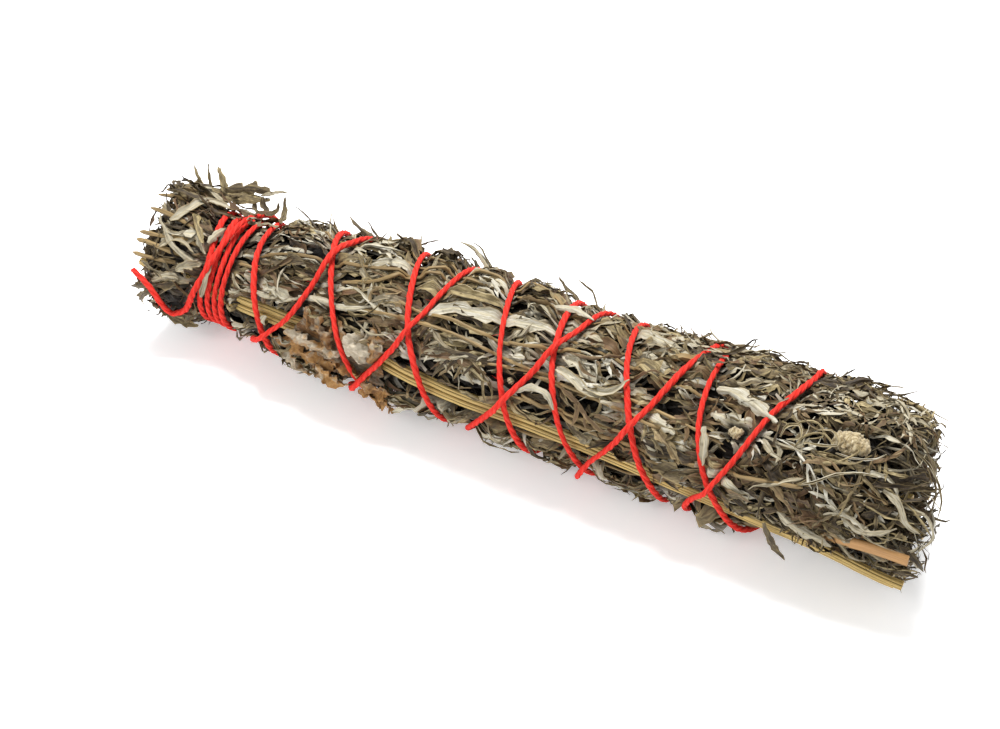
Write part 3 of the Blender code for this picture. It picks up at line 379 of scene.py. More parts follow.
# Thin stems that lie among the leaves: the sprig, radius, and points as (x, angle, height). More are laid
# by chance.
CHOSEN_STEMS = (
    (1, 0.5, ((-44, 62, -0.6), (-34, 70, 1.6), (-28, 85, 1.9), (-21, 99, 1.9), (-11, 110, 1.9),
        (-5, 109, 1.8), (2, 118, 1.6), (12, 104, 0.2))),
    (1, 0.45, ((-28, 62, -0.8), (-19, 58, 1.5), (-11, 59, 1.9), (-4, 57, 1.9), (2, 57, 1.9), (8, 58, 1.8),
        (15, 64, 1.4), (24, 70, -0.2))),
    (1, 0.45, ((-70, 66, -0.6), (-62, 70, 1.2), (-50, 74, 1.6), (-38, 78, 1.5), (-26, 88, 1.6),
        (-14, 97, 1.2), (-4, 100, -0.4))),
    (0, 0.45, ((-38, 44, -0.6), (-30, 48, 1.2), (-20, 50, 1.6), (-8, 50, 1.5), (4, 46, 1.4),
        (14, 44, -0.3))),
    (0, 0.45, ((10, 40, -0.4), (20, 42, 1.2), (32, 40, 1.4), (44, 36, 1.2), (54, 36, -0.4))),
    (0, 0.62, ((-104.4, 52, 0.6), (-98, 54, 1.1), (-91, 59, 0.4), (-86, 60, -2.0))),
    (0, 0.70, ((-104.6, 44, 0.3), (-99.5, 45, 0.9), (-94, 44, 0.4), (-88, 44, -2.2))),
    (0, 0.60, ((-104.8, 30, 0.2), (-99.5, 32, 0.7), (-94, 34, 0.2), (-88, 36, -2.2))),
    (1, 0.60, ((-105, 79, 0.8), (-98.3, 76, 1.2), (-92, 75, 0.2), (-86, 75, -2.0))),
    (1, 0.60, ((-106.4, 101, 0.8), (-99.8, 101, 1.0), (-94, 103, 0.1), (-88, 103, -2.0))),
    (2, 0.70, ((-107, 120, 0.8), (-101, 124, 1.6), (-95, 127, 1.2), (-88, 128, -1.0))),
    (1, 1.05, ((40, 88, -1.6), (45, 92, 0.2), (51.5, 117, 2.6))),
)
STEMS_A_SPRIG = (6, 5, 4, 4, 4, 6)

# Crumpled pieces of the brown leaf: points as above, half width, tone, warmth.
BROWN_FLAPS = (
    (((-62.5, -9, -0.8), (-52, -11, 0.6), (-41.5, -17, 0.4)), 2.9, 0.55, 0.75),
    (((-52.0, -24, -0.9), (-47.5, -35, 0.4), (-42, -40, 0.8)), 3.0, 0.35, 0.45),
    (((-51.4, 34, -0.6), (-46.5, 22, 0.9), (-42, 8, 0.5)), 2.7, 0.2, 0.55),
    (((-43.4, 33, -0.4), (-40.1, 24, 0.7), (-37.5, 14, 0.6)), 2.3, 0.25, 0.6),
    (((-56.5, 6, -0.2), (-48.2, 5, 1.3), (-39.5, 4, 1.0)), 2.6, 0.65, 0.35),
    (((-41.8, -5, 0.6), (-37.1, -9, 1.7), (-31.8, -11, 1.2)), 1.9, 0.55, 0.95),
    (((-39.6, 15, 0.4), (-33.6, 18, 2.2), (-27.4, 21, 0.8)), 4.9, 0.9, 0.1),
    (((-31.0, 37, 0.3), (-29.2, 22, 2.1), (-29.6, 3, 1.4)), 2.0, 0.4, 0.6),
    (((-35.6, -16, 0.8), (-31.7, -6, 2.0), (-29.4, 4, 1.6)), 1.4, 0.5, 0.95),
    (((-35.0, -28, 0.5), (-32, -37, 1.6), (-27.6, -40, 1.4)), 2.1, 0.6, 0.9),
    (((-38, -13, 0.8), (-31, -17, 1.6), (-24.5, -18, 0.6)), 1.7, 0.45, 0.7),
    (((-36, -34, 0.6), (-33.5, -44, 2.0), (-31, -50, 3.0)), 1.8, 0.7, 0.95),
    (((-47, -14, 0.7), (-42, -22, 2.0), (-36, -26, 1.4)), 1.9, 0.85, 0.6),
    (((-30, -24, 0.6), (-27.5, -36, 1.8), (-26, -46, 2.2)), 1.6, 0.6, 0.9),
    (((-57, -14, 0.4), (-52, -24, 1.6), (-46, -31, 1.4)), 1.7, 0.8, 0.5),
)


# Shapes


def smoothstep(share):
    share = np.clip(share, 0, 1)
    return share * share * (3 - 2 * share)


def eased(value, start, end):
    """From 0 at the start to 1 at the end, smoothly."""
    return smoothstep((value - start) / (end - start))


def stacked(*parts):
    """Points made of their parts, each spread to the same shape."""
    return np.stack(np.broadcast_arrays(*parts), axis=-1)


def unit(vectors):
    """Directions: vectors made one long."""
    return vectors / np.maximum(np.linalg.norm(vectors, axis=-1, keepdims=True), 1e-9)


def distances(points):
    """How far along its path each point is."""
    return np.concatenate(([0], np.cumsum(np.linalg.norm(np.diff(points, axis=0), axis=1))))


def smooth(knots, values, at):
    """A smooth curve through the values at the knots, read at the places asked for."""
    knots = np.asarray(knots, float)
    values = np.asarray(values, float)
    at = np.asarray(at, float)
    slopes = np.gradient(values, knots)
    i = np.clip(np.searchsorted(knots, at) - 1, 0, len(knots) - 2)
    width = knots[i + 1] - knots[i]
    t = np.clip((at - knots[i]) / width, 0, 1)
    blend = t * t * (3 - 2 * t)
    bend = t * (1 - t) * width * ((1 - t) * slopes[i] - t * slopes[i + 1])
    return (1 - blend) * values[i] + blend * values[i + 1] + bend


def along_rows(rows, column, x):
    """A smooth curve through one column of a table whose first column is x."""
    return smooth([row[0] for row in rows], [row[column] for row in rows], x)


def string_radius(x):
    return along_rows(PROFILE, 1, x)


def middle_height(x):
    return along_rows(PROFILE, 2, x)


def stalk_angle(x):
    return along_rows(STALK_ROUTE, 1, x)


def splay_share(x):
    """From 0 to 1 past the last turn of string, where the bare stalks spring away from the leaves."""
    return np.clip((x - SPLAY_FROM) / (SPLAY_TO - SPLAY_FROM), 0, 1)


def splay(x):
    """How far out the bare stalks spring."""
    return SPLAY * splay_share(x) ** SPLAY_BEND


def round_bundle(x, angle, radius):
    """The point in space, in mm, of a place given round the bundle's middle line."""
    turn = np.radians(angle)
    across = -radius * np.cos(turn)
    up = middle_height(x) + radius * np.sin(turn)
    return stacked(x, across, up).astype(float)


def round_places(points):
    """(x, angle, radius) of points in space."""
    up = points[..., 2] - middle_height(points[..., 0])
    angle = np.degrees(np.arctan2(up, -points[..., 1]))
    return points[..., 0], angle, np.hypot(points[..., 1], up)


def outward_at(points):
    """The direction away from the bundle's middle line."""
    up = points[..., 2] - middle_height(points[..., 0])
    return unit(stacked(0.0, points[..., 1], up))


def border(index, x):
    """The angle of an outer sprig's lower border. Border 6 is border 0, one turn on."""
    if index % 6 == 0:
        return stalk_angle(x) + 60 * index
    return BORDER_ANGLES[index] + BORDER_WANDER * np.sin(x / (16 + 2.1 * index) + 1.9 * index)


def unwound(rows, first_turn):
    """(angle, x) all along a pass of the string, with the angle falling all the way."""
    return [(angle - 360 * (first_turn + turn), x) for turn, row in enumerate(rows) for angle, x in row]


def string_line():
    """The string's middle line, in mm, as closely spaced points."""
    second = unwound(SECOND_PASS, len(FIRST_PASS))
    knots = np.array(unwound(FIRST_PASS, 0) + second, float)
    angle = np.arange(knots[0, 0], knots[-1, 0], -3.0)
    x = smooth(-knots[:, 0], knots[:, 1], -angle)
    radius = string_radius(x)
    over = angle < second[0][0]
    rise = np.zeros(len(x))
    for i in np.flatnonzero(over):
        turn = (angle[i] - angle[~over] + 180) % 360 - 180
        apart = np.hypot(x[i] - x[~over], np.radians(turn) * radius[i]).min()
        rise[i] = CROSSING_RISE * (0.5 + 0.5 * math.cos(math.pi * min(1, apart / CROSSING_REACH)))
    ease = np.hanning(7) / np.hanning(7).sum()
    line = round_bundle(x, angle, radius + np.convolve(rise, ease, mode="same"))
    knots = np.array([line[-9], line[-1]] + [round_bundle(*station) for station in TAIL])
    places = distances(knots)
    steps = np.arange(places[1] + 1.0, places[-1], 1.0)
    tail = np.stack([smooth(places, knots[:, axis], steps) for axis in range(3)], axis=-1)
    return np.concatenate((line, tail))


def evenly(path, step):
    """A path read again at even steps."""
    places = distances(path)
    steps = np.linspace(0, places[-1], max(2, round(places[-1] / step)))
    return np.stack([np.interp(steps, places, path[:, axis]) for axis in range(3)], axis=-1), steps


class Surface:
    """How far out leaves may reach, and how far the string is, on a grid of places round the bundle."""

    STEP_X = 0.5
    STEP_ANGLE = 1.5
    # Under the string the leaves stay this far below its middle. From this far beside it they may rise,
    # this steeply.
    UNDER = 1.0
    BESIDE = 0.9
    STEEP = 4
    # How deep the brown leaf and the buds sit in the others, how steeply those rise round them, and half
    # the brown leaf's bed, along the bundle in mm and round it in degrees.
    BROWN_SUNK, BUD_SUNK, LESS_STEEP = 2.3, 2.2, 3
    BROWN_BED = (13, 27)
    # How far the leaves stay clear of the bare stalks' bed past its ends.
    NO_BED = 9

    def __init__(self, line):
        self.x = np.arange(-118.0, 124.0, self.STEP_X)
        self.angle = np.arange(-180.0, 180.0, self.STEP_ANGLE)
        x, angle = np.meshgrid(self.x, self.angle, indexing="ij")
        tree = kdtree.KDTree(len(line))
        for index, point in enumerate(line):
            tree.insert(Vector(point), index)
        tree.balance()
        places = round_bundle(x, angle, string_radius(x)).reshape(-1, 3)
        self.away = np.array([tree.find(Vector(place))[2] for place in places]).reshape(x.shape)
        rise = self.STEEP * np.maximum(0, self.away - self.BESIDE)
        self.string_limit = string_radius(x) - self.UNDER + rise
        beds = (self.stalk_bed(x, angle), self.brown_bed(x, angle), self.flat_bed(x, angle))
        self.limit = np.min([self.string_limit, *beds, *self.bud_beds(x, angle)], axis=0)

    def stalk_bed(self, x, angle):
        """How far out leaves may reach beside the bare stalks, and below their right end."""
        middle = string_radius(x)
        bare = eased(x, *BARE_END)
        spring = splay(x)
        off_route = np.abs(angle - stalk_angle(x)) * np.radians(middle)
        slope = self.STEEP - BED_FLATTER * bare
        bed = middle - BED_DEPTH + spring + slope * np.maximum(0, off_route - BED_HALF - BED_WIDER * bare)
        below = (angle < stalk_angle(x)) & (angle > -100) & (bare > 0)
        bed = np.where(below, np.minimum(bed, middle - BED_BELOW * bare + spring), bed)
        return bed + (self.NO_BED * (1 - eased(x, *BED_LEFT)) + self.NO_BED * eased(x, *BED_RIGHT))

    def brown_bed(self, x, angle):
        """How far out they may reach round the brown leaf."""
        middle = string_radius(x)
        half_x, half_angle = self.BROWN_BED
        ahead = np.maximum(np.abs(x - np.mean(BROWN_X)) - half_x, 0)
        turn = np.abs(angle - np.interp(x, BROWN_X, BROWN_MIDDLE))
        aside = np.maximum(turn - half_angle, 0) * np.radians(middle)
        return middle - self.BROWN_SUNK + self.LESS_STEEP * np.hypot(ahead, aside)

    def flat_bed(self, x, angle):
        """How far out they may reach beside the flat stalk, left of which nothing holds them."""
        across = np.abs(angle - FLAT_STALK[-1][1]) * np.radians(string_radius(x))
        return FLAT_BED + self.STEEP * np.maximum(across - 1.8, 0) + self.NO_BED * eased(x, 100, 96)

    def bud_beds(self, x, angle):
        """How far out they may reach round each of the buds."""
        middle = string_radius(x)
        for bud_x, bud_angle, long, wide, _, size in BUDS:
            ahead = np.maximum(np.abs(x - bud_x) - long - size, 0)
            aside = np.maximum(np.abs(angle - bud_angle) * np.radians(middle) - wide - size, 0)
            yield middle - self.BUD_SUNK + self.LESS_STEEP * np.hypot(ahead, aside)

    def read(self, grid, x, angle):
        """A grid's value between its places."""
        i = np.clip((x - self.x[0]) / self.STEP_X, 0, len(self.x) - 1.001)
        j = ((angle + 180) / self.STEP_ANGLE) % len(self.angle)
        left, low = i.astype(int), j.astype(int)
        high = (low + 1) % len(self.angle)
        i = i - left
        j = j - low
        near = (1 - j) * grid[left, low] + j * grid[left, high]
        far = (1 - j) * grid[left + 1, low] + j * grid[left + 1, high]
        return (1 - i) * near + i * far

    def room(self, x, angle):
        """From 0 under the string to 1 well clear of it."""
        return smoothstep((self.read(self.away, x, angle) - 0.8) / 3.8)

    def pressed(self, points):
        """Points moved in to where the string and the pieces that lie on the leaves allow."""
        return self.moved_in(points, self.limit)

    def stem_pressed(self, points):
        """A stiff stem's points moved in: it passes under a string without dipping between its turns."""
        x, angle, radius = round_places(points)
        near = [self.read(self.string_limit, x + ahead, angle) for ahead in (-1.4, -0.7, 0, 0.7, 1.4)]
        return round_bundle(x, angle, np.minimum(radius, np.min(near, axis=0)))

    def under_string(self, points):
        """Points moved in to where the string alone allows."""
        return self.moved_in(points, self.string_limit)

    def moved_in(self, points, grid):
        """Points moved softly towards the bundle's middle line, to within a grid of radii."""
        x, angle, radius = round_places(points)
        limit = self.read(grid, x, angle)
        below = SOFTNESS * np.logaddexp(0, (limit - radius) / SOFTNESS)
        share = np.minimum(1, (limit - below) / np.maximum(radius, 0.1))
        middle = middle_height(x)
        moved = points.copy()
        moved[..., 1] *= share
        moved[..., 2] = middle + (points[..., 2] - middle) * share
        return moved


# Meshes


def frames(path, outward):
    """Unit directions along each path, out of it and across it."""
    along = unit(np.gradient(path, axis=-2))
    outward = unit(outward - along * (outward * along).sum(-1, keepdims=True))
    return along, outward, np.cross(outward, along)


def quads(*corners):
    """Four-sided faces from arrays of their four corners."""
    return np.stack(corners, axis=-1).reshape(-1, 4)


def patch(ids):
    """Four-sided faces between neighbours of a grid of points."""
    return quads(ids[:-1, :-1], ids[1:, :-1], ids[1:, 1:], ids[:-1, 1:])


def sheet_faces(stations, columns):
    """Four-sided faces of a thin closed sheet of (station, column, outer or inner) points."""
    ids = np.arange(stations * columns * 2).reshape(stations, columns, 2)
    top, under = ids[..., 0], ids[..., 1]
    return np.concatenate((
        patch(top),
        quads(under[:-1, :-1], under[:-1, 1:], under[1:, 1:], under[1:, :-1]),
        quads(top[:-1, 0], under[:-1, 0], under[1:, 0], top[1:, 0]),
        quads(top[:-1, -1], top[1:, -1], under[1:, -1], under[:-1, -1]),
        quads(top[0, :-1], top[0, 1:], under[0, 1:], under[0, :-1]),
        quads(top[-1, :-1], under[-1, :-1], under[-1, 1:], top[-1, 1:]),
    ))


def tube_faces(stations, sides, forward=True):
    """Faces of a closed tube: four-sided ones round it, and one with all the sides at each end."""
    ids = np.arange(stations * sides).reshape(stations, sides)
    after = np.roll(ids, -1, axis=1)
    if forward:
        return [quads(ids[:-1], after[:-1], after[1:], ids[1:]), ids[:1, ::-1], ids[-1:]]
    return [quads(ids[:-1], ids[1:], after[1:], after[:-1]), ids[:1], ids[-1:, ::-1]]


def turns(sides):
    """The sides' angles round a ring, in radians."""
    return 2 * np.pi * np.arange(sides) / sides


def ring_directions(out, across, sides):
    """Directions from each station of a path to its ring's points."""
    turn = turns(sides)[:, None]
    return out[:, None, :] * np.cos(turn) - across[:, None, :] * np.sin(turn)


def tube_points(path, outward, radii, sides):
    """Rings of points round a path. The radii are (station,) or (station, side)."""
    _, out, across = frames(path, outward)
    radii = np.broadcast_to(np.atleast_2d(np.asarray(radii, float).T).T, (len(path), sides))
    return path[:, None, :] + ring_directions(out, across, sides) * radii[..., None]


def painted_gap_shade(points):
    """From 0 on the bundle's outside to 1 deep inside: painted shade that darkens the leaves lying deep
    among the others.
    """
    x, angle, radius = round_places(points)
    # The painted shade starts higher at the left end, ramps up faster left of the middle, and is lighter
    # below the bare stalks at the right end and on both end faces.
    bared = eased(x, *BARE_END) * eased(stalk_angle(x) - angle, 0, 6) * eased(angle, -110, -100)
    shade_from = string_radius(x) - 0.1 + 1.5 * eased(x, *LEFT_SHADE) - 2.2 * bared
    deep = smoothstep((shade_from - radius) / (3.0 - 0.8 * eased(x, *MIDDLE_SHADE)))
    return deep * (1 - 0.6 * eased(x, *RIGHT_FACE) - 0.55 * eased(x, *LEFT_FACE))


class Pile:
    """Gathers points in mm, faces and named values, and makes one piece of them."""

    # deep carries painted shade: how much a leaf is darkened for lying deep in the bundle.
    VALUES = ("tone", "warm", "pale", "edge", "deep")
    # How far inside the solids' box every point stays, in mm, and from what angle an edge is sharp.
    INSIDE = 0.02
    SHARP = math.radians(58)

    def __init__(self):
        self.points, self.faces, self.finishes, self.values, self.places = [], [], [], [], []
        self.count = 0

    def add(self, points, faces, place=None, finish=0, **values):
        points = points.reshape(-1, 3)
        values.setdefault("warm", 0.5)
        values.setdefault("deep", painted_gap_shade(points))
        for group in faces:
            self.faces.append(group + self.count)
            self.finishes.append(np.full(len(group), finish))
        self.points.append(points)
        self.values.append([np.broadcast_to(values.get(name, 0.0), len(points)) for name in self.VALUES])
        self.places.append(points if place is None else place.reshape(-1, 3))
        self.count += len(points)

    def piece(self, name, finishes, slot, replaced):
        low, high = (np.array(corner) / MM for corner in CAD_BOX)
        points = np.clip(np.concatenate(self.points), low + self.INSIDE, high - self.INSIDE)
        sizes = np.concatenate([np.full(len(group), group.shape[1]) for group in self.faces])
        corners = np.concatenate([group.ravel() for group in self.faces])
        mesh = bpy.data.meshes.new(name)
        mesh.vertices.add(len(points))
        mesh.loops.add(len(corners))
        mesh.polygons.add(len(sizes))
        starts = np.concatenate(([0], np.cumsum(sizes)[:-1]))
        for data, field, numbers, kind in (
            (mesh.vertices, "co", points * MM, np.float32),
            (mesh.loops, "vertex_index", corners, np.int32),
            (mesh.polygons, "loop_start", starts, np.int32),
            (mesh.polygons, "material_index", np.concatenate(self.finishes), np.int32),
        ):
            data.foreach_set(field, numbers.astype(kind).ravel())
        for index, value in enumerate(self.VALUES):
            numbers = np.concatenate([group[index] for group in self.values]).astype(np.float32)
            mesh.attributes.new(value, "FLOAT", "POINT").data.foreach_set("value", numbers)
        places = np.concatenate(self.places).astype(np.float32)
        mesh.attributes.new("place", "FLOAT_VECTOR", "POINT").data.foreach_set("vector", places.ravel())
        mesh.update(calc_edges=True)
        mesh.validate()
        mesh.shade_smooth()
        mesh.set_sharp_from_angle(angle=self.SHARP)
        for finish in finishes:
            mesh.materials.append(finish)
        made = bpy.data.objects.new(name, mesh)
        bpy.context.scene.collection.objects.link(made)
        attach(made, BODY)
        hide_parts(replaced)


# Finishes


class Socket:
    """A shader socket that takes arithmetic."""

    def __init__(self, shader, out):
        self.shader = shader
        self.out = out

    def maths(self, operation, *values):
        return self.shader.node("ShaderNodeMath", {"operation": operation}, dict(enumerate(values)))

    def __add__(self, other):
        return self.maths("ADD", self, other)

    def __radd__(self, other):
        return self.maths("ADD", other, self)

    def __sub__(self, other):
        return self.maths("SUBTRACT", self, other)

    def __rsub__(self, other):
        return self.maths("SUBTRACT", other, self)

    def __mul__(self, other):
        return self.maths("MULTIPLY", self, other)

    def __rmul__(self, other):
        return self.maths("MULTIPLY", other, self)

    def __pow__(self, other):
        return self.maths("POWER", self, other)

    def __rpow__(self, other):
        return self.maths("POWER", other, self)

    def between(self, low, high):
        """From 0 at low to 1 at high."""
        return self.shader.node(
            "ShaderNodeMapRange", {"interpolation_type": "SMOOTHSTEP"},
            {"Value": self, "From Min": low, "From Max": high},
        )


class Shader:
    """A material's nodes, ending in one Principled surface."""

    def __init__(self, name, **constants):
        self.material = bpy.data.materials.new(name)
        self.material.use_nodes = True
        self.tree = self.material.node_tree
        self.surface = self.tree.nodes["Principled BSDF"]
        for socket, value in constants.items():
            self.surface.inputs[socket.replace("_", " ")].default_value = value

    def node(self, kind, settings=None, inputs=None, output=0):
        made = self.tree.nodes.new(kind)
        for name, value in (settings or {}).items():
            if name == "stops":
                self.set_stops(made.color_ramp, value)
            else:
                setattr(made, name, value)
        for name, value in (inputs or {}).items():
            if isinstance(value, Socket):
                self.tree.links.new(value.out, made.inputs[name])
            else:
                made.inputs[name].default_value = value
        return Socket(self, made.outputs[output])

    @staticmethod
    def set_stops(ramp, stops):
        while len(ramp.elements) < len(stops):
            ramp.elements.new(0.5)
        for element, (place, colour) in zip(ramp.elements, stops):
            element.position = place
            element.color = (*colour, 1.0)

    def value(self, name):
        return self.node("ShaderNodeAttribute", {"attribute_name": name}, output="Fac")

    def place(self):
        return self.node("ShaderNodeAttribute", {"attribute_name": "place"}, output="Vector")

    def scaled(self, vector, sizes):
        return self.node("ShaderNodeVectorMath", {"operation": "MULTIPLY"}, {0: vector, 1: sizes})

    def noise(self, vector, scale, detail=4.0, roughness=0.55):
        inputs = {"Vector": vector, "Scale": scale, "Detail": detail, "Roughness": roughness}
        return self.node("ShaderNodeTexNoise", {"noise_dimensions": "3D"}, inputs)

    def ramp(self, factor, stops):
        return self.node("ShaderNodeValToRGB", {"stops": stops}, {"Fac": factor}, output="Color")

    def mix(self, factor, first, second):
        first, second = (
            colour if isinstance(colour, Socket) else (*colour, 1.0) for colour in (first, second)
        )
        settings = {"data_type": "RGBA", "clamp_factor": True}
        return self.node("ShaderNodeMix", settings, {0: factor, 6: first, 7: second}, output=2)

    def finish(self, colour, roughness, height, distance, strength=1.0):
        bump = self.node(
            "ShaderNodeBump", None, {"Height": height, "Distance": distance, "Strength": strength}
        )
        for name, socket in (("Base Color", colour), ("Roughness", roughness), ("Normal", bump)):
            self.tree.links.new(socket.out, self.surface.inputs[name])
        return self.material


def tint(red, green, blue):
    """A colour of the render from one written as 0 to 255."""
    parts = (part / 255 for part in (red, green, blue))
    return tuple(((part + 0.055) / 1.055) ** 2.4 if part > 0.04 else part / 12.92 for part in parts)


def tints(*rows):
    """A ramp's stops from rows of place, red, green and blue."""
    return [(place, tint(*colour)) for place, *colour in rows]


def leaf_finish(name, shade):
    """A dry leaf: olive brown above, pale felt below, with streaks and veins along it."""
    leaf = Shader(name, Specular_IOR_Level=0.35)
    tone, warm, pale, edge, deep = (leaf.value(name) for name in Pile.VALUES)
    place = leaf.place()
    streaks = leaf.noise(leaf.scaled(place, (0.22, 2.6, 7.0)), 1.0, 6.0, 0.66)
    mottle = leaf.noise(leaf.scaled(place, (0.7, 1.1, 3.0)), 1.0, 4.0, 0.6)
    lines = (streaks - 0.5) * 1.5 + (mottle - 0.5) * 0.7
    above = leaf.ramp(
        tone * 0.7 + lines + 0.17 + shade,
        tints(
            (0, 30, 22, 14), (0.25, 62, 50, 33), (0.5, 96, 83, 57), (0.75, 134, 119, 83), (1, 176, 160, 120)
        ),
    )
    above = leaf.mix(warm.between(0.55, 1.0) * 0.75, above, tint(104, 76, 50))
    felt = leaf.ramp(
        tone * 0.6 + lines + 0.28 + shade,
        tints((0, 74, 62, 45), (0.3, 124, 114, 93), (0.6, 163, 156, 136), (1, 198, 196, 186)),
    )
    felt = leaf.mix((mottle - 0.54) * 3.0, felt, tint(138, 114, 78))
    colour = leaf.mix(pale, above, felt)
    # Painted highlight: a lighter rim along each leaf's edge.
    rim = edge.between(0.74, 1.0) * 0.4
    colour = leaf.mix(rim, colour, tint(158, 138, 92))
    # The midrib line: pale on the felted underside, the vein's own colour; dark on the upper side, painted
    # shade in the midrib's groove.
    midrib = (1 - edge.between(0.0, 0.26)) * 0.45
    colour = leaf.mix(midrib, colour, leaf.mix(pale, tint(40, 30, 18), tint(196, 184, 150)))
    # Painted shade: leaves that lie deep among the others are darkened towards near black.
    shadow = (1 - deep * 0.93) ** 1.25
    colour = leaf.mix(shadow, tint(16, 11, 7), colour)
    roughness = 0.52 + pale * 0.3 + streaks * 0.12
    height = streaks * 0.9 + mottle * 0.6
    return leaf.finish(colour, roughness, height, 0.00035)


def painted_shade_core_finish():
    """The pressed inside of a sprig, seen only in the gaps, coloured near black as painted shade for the
    bundle's dark inside.
    """
    core = Shader("pressed_core_shade", Specular_IOR_Level=0.1)
    grain = core.noise(core.scaled(core.place(), (0.3, 1.6, 1.6)), 1.0, 5.0, 0.7)
    colour = core.ramp(grain, tints((0.3, 12, 9, 6), (0.6, 26, 20, 14), (0.85, 46, 37, 26)))
    return core.finish(colour, 0.9 + grain * 0.05, grain, 0.0009)


def stalk_finish(name, groove, low, high):
    """A dry stalk with ribs, and pith in its cut ends. Its grooves are coloured dark: partly the furrows'
    own colour, partly painted shade.
    """
    stalk = Shader(name, Specular_IOR_Level=0.4)
    rib = stalk.value("edge")
    cut = stalk.value("pale")
    tone = stalk.value("tone")
    streaks = stalk.noise(stalk.scaled(stalk.place(), (0.08, 2.6, 2.6)), 1.0, 5.0, 0.6)
    patches = stalk.noise(stalk.scaled(stalk.place(), (0.05, 0.3, 0.3)), 1.0, 3.0)
    skin = stalk.ramp(streaks * 0.9 + tone * 0.25 - 0.05, ((0.2, low), (0.8, high)))
    skin = stalk.mix((patches - 0.55) * 2.0, skin, groove)
    # Dark colour in the grooves between ribs: partly the furrows' own colour, partly painted shade.
    skin = stalk.mix((1 - rib).between(0.35, 0.95) * 0.85, skin, groove)
    grain = stalk.noise(stalk.place(), 2.4)
    pith = stalk.ramp(grain, tints((0.3, 150, 118, 70), (0.7, 226, 205, 158)))
    colour = stalk.mix(cut, skin, pith)
    return stalk.finish(colour, 0.5 + streaks * 0.25, streaks, 0.0002, 0.8)


def bud_finish():
    """Cream wool over a bud's scales, painted lighter where the scales stand out and darker between them as
    painted shade.
    """
    bud = Shader("bud_wool", Specular_IOR_Level=0.2, Sheen_Weight=0.25)
    wool = bud.noise(bud.place(), 3.2, 6.0, 0.7)
    scales = bud.noise(bud.place(), 0.9, 2.0)
    colour = bud.ramp(
        wool * 0.6 + scales * 0.4 + bud.value("edge") * 0.35 - 0.16,
        tints((0.2, 74, 58, 34), (0.42, 148, 127, 88), (0.6, 196, 178, 138), (0.85, 230, 219, 190)),
    )
    return bud.finish(colour, 0.85 + wool * 0.1, wool, 0.0006)


def brown_finish():
    """The papery brown leaf: grey beige where it is felted, orange brown where it is bare."""
    paper = Shader("brown_leaf", Specular_IOR_Level=0.35)
    tone = paper.value("tone")
    warm = paper.value("warm")
    veins = paper.noise(paper.scaled(paper.place(), (0.8, 2.2, 5.0)), 0.7, 6.0, 0.7)
    patches = paper.noise(paper.place(), 0.45, 4.0)
    lines = (veins - 0.5) * 1.3
    bare = paper.ramp(
        tone * 0.5 + lines + 0.25,
        tints((0, 52, 32, 16), (0.3, 102, 70, 36), (0.6, 152, 112, 62), (1, 194, 158, 104)),
    )
    felted = paper.ramp(
        tone * 0.5 + lines + 0.3,
        tints((0, 62, 51, 39), (0.3, 110, 96, 77), (0.6, 154, 141, 120), (1, 192, 182, 162)),
    )
    colour = paper.mix((warm * 1.6 + (patches - 0.5) * 3.2 - 0.3).between(0.1, 0.8), felted, bare)
    height = veins + patches * 0.5
    return paper.finish(colour, 0.55 + veins * 0.25, height, 0.0004)


def cotton_finish(colour):
    """Red cotton of many fine fibres, painted lighter on each ply's outside and darker where the plies lie
    together: painted highlight and painted shade. The place is (along the ply, round it).
    """
    cotton = Shader("red_cotton", Specular_IOR_Level=0.15)
    place = cotton.place()
    fibres = cotton.noise(cotton.scaled(place, (0.7, 5.5, 1.0)), 1.0, 4.0, 0.6)
    # edge runs from 0 where a ply faces the others to 1 on its outside; it drives the painted shade and
    # painted highlight.
    depth = cotton.value("edge")
    dark = tuple(c * 0.42 for c in colour)
    light = (min(1.0, colour[0] * 1.12), colour[1] * 2.4 + 0.02, colour[2] * 2.4 + 0.02)
    stops = ((0.12, dark), (0.42, tuple(colour)), (0.9, light))
    shade = cotton.ramp(fibres * 0.7 + depth * 0.5 - 0.12, stops)
    return cotton.finish(shade, 0.75 + fibres * 0.15, fibres, 0.00022)


def floor_finish(colour):
    glow = dict(Emission_Color=(1, 1, 1, 1), Emission_Strength=0.3)
    white = Shader("studio_floor", Specular_IOR_Level=0.2, **glow)
    grain = white.noise(white.node("ShaderNodeNewGeometry", output="Position"), 9.0, 2.0)
    shade = white.ramp(grain, ((0.0, tuple(c * 0.99 for c in colour)), (1.0, tuple(colour))))
    return white.finish(shade, 0.8 + grain * 0.02, grain, 0.00001)


# Leaves


def leaf_batch(rng, kind, count, **chosen):
    """Random shapes of one kind of leaf, as arrays of one row a leaf. Chosen values replace random ones."""
    shape = LEAF_KINDS[kind]
    sign = np.where(rng.random(count) < 0.6, -1, 1)
    batch = dict(
        kind=shape,
        length=rng.uniform(*shape["length"], count),
        half=rng.uniform(*shape["half"], count),
        roll=sign * rng.uniform(*shape["roll"], count),
        fold=rng.normal(0, 1, count) * shape["fold"],
        twist=rng.normal(0, shape["twist"], (count, 2)) * (0.6, 1.0),
        bend=rng.normal(0, shape["bend"], count),
        phase=rng.uniform(0, 2 * np.pi, (count, 3)),
        lift=np.abs(rng.normal(0, shape["lift"], count)),
        tone=np.clip(rng.normal(0.5, 0.26, count), 0, 1),
        warm=rng.random(count),
        seed=rng.uniform(0, 60, count),
    )
    for name, value in chosen.items():
        batch[name][:] = value
    return batch


def toned(batch, change):
    """Makes leaves darker or lighter."""
    batch["tone"] = np.clip(batch["tone"] + change, 0, 1)


def part_of(batch, chosen, detail):
    """Some leaves of a batch, with more or fewer stations and columns."""
    shown = {name: values[chosen] for name, values in batch.items() if name != "kind"}
    shown["kind"] = dict(batch["kind"], **(detail or {}))
    return shown


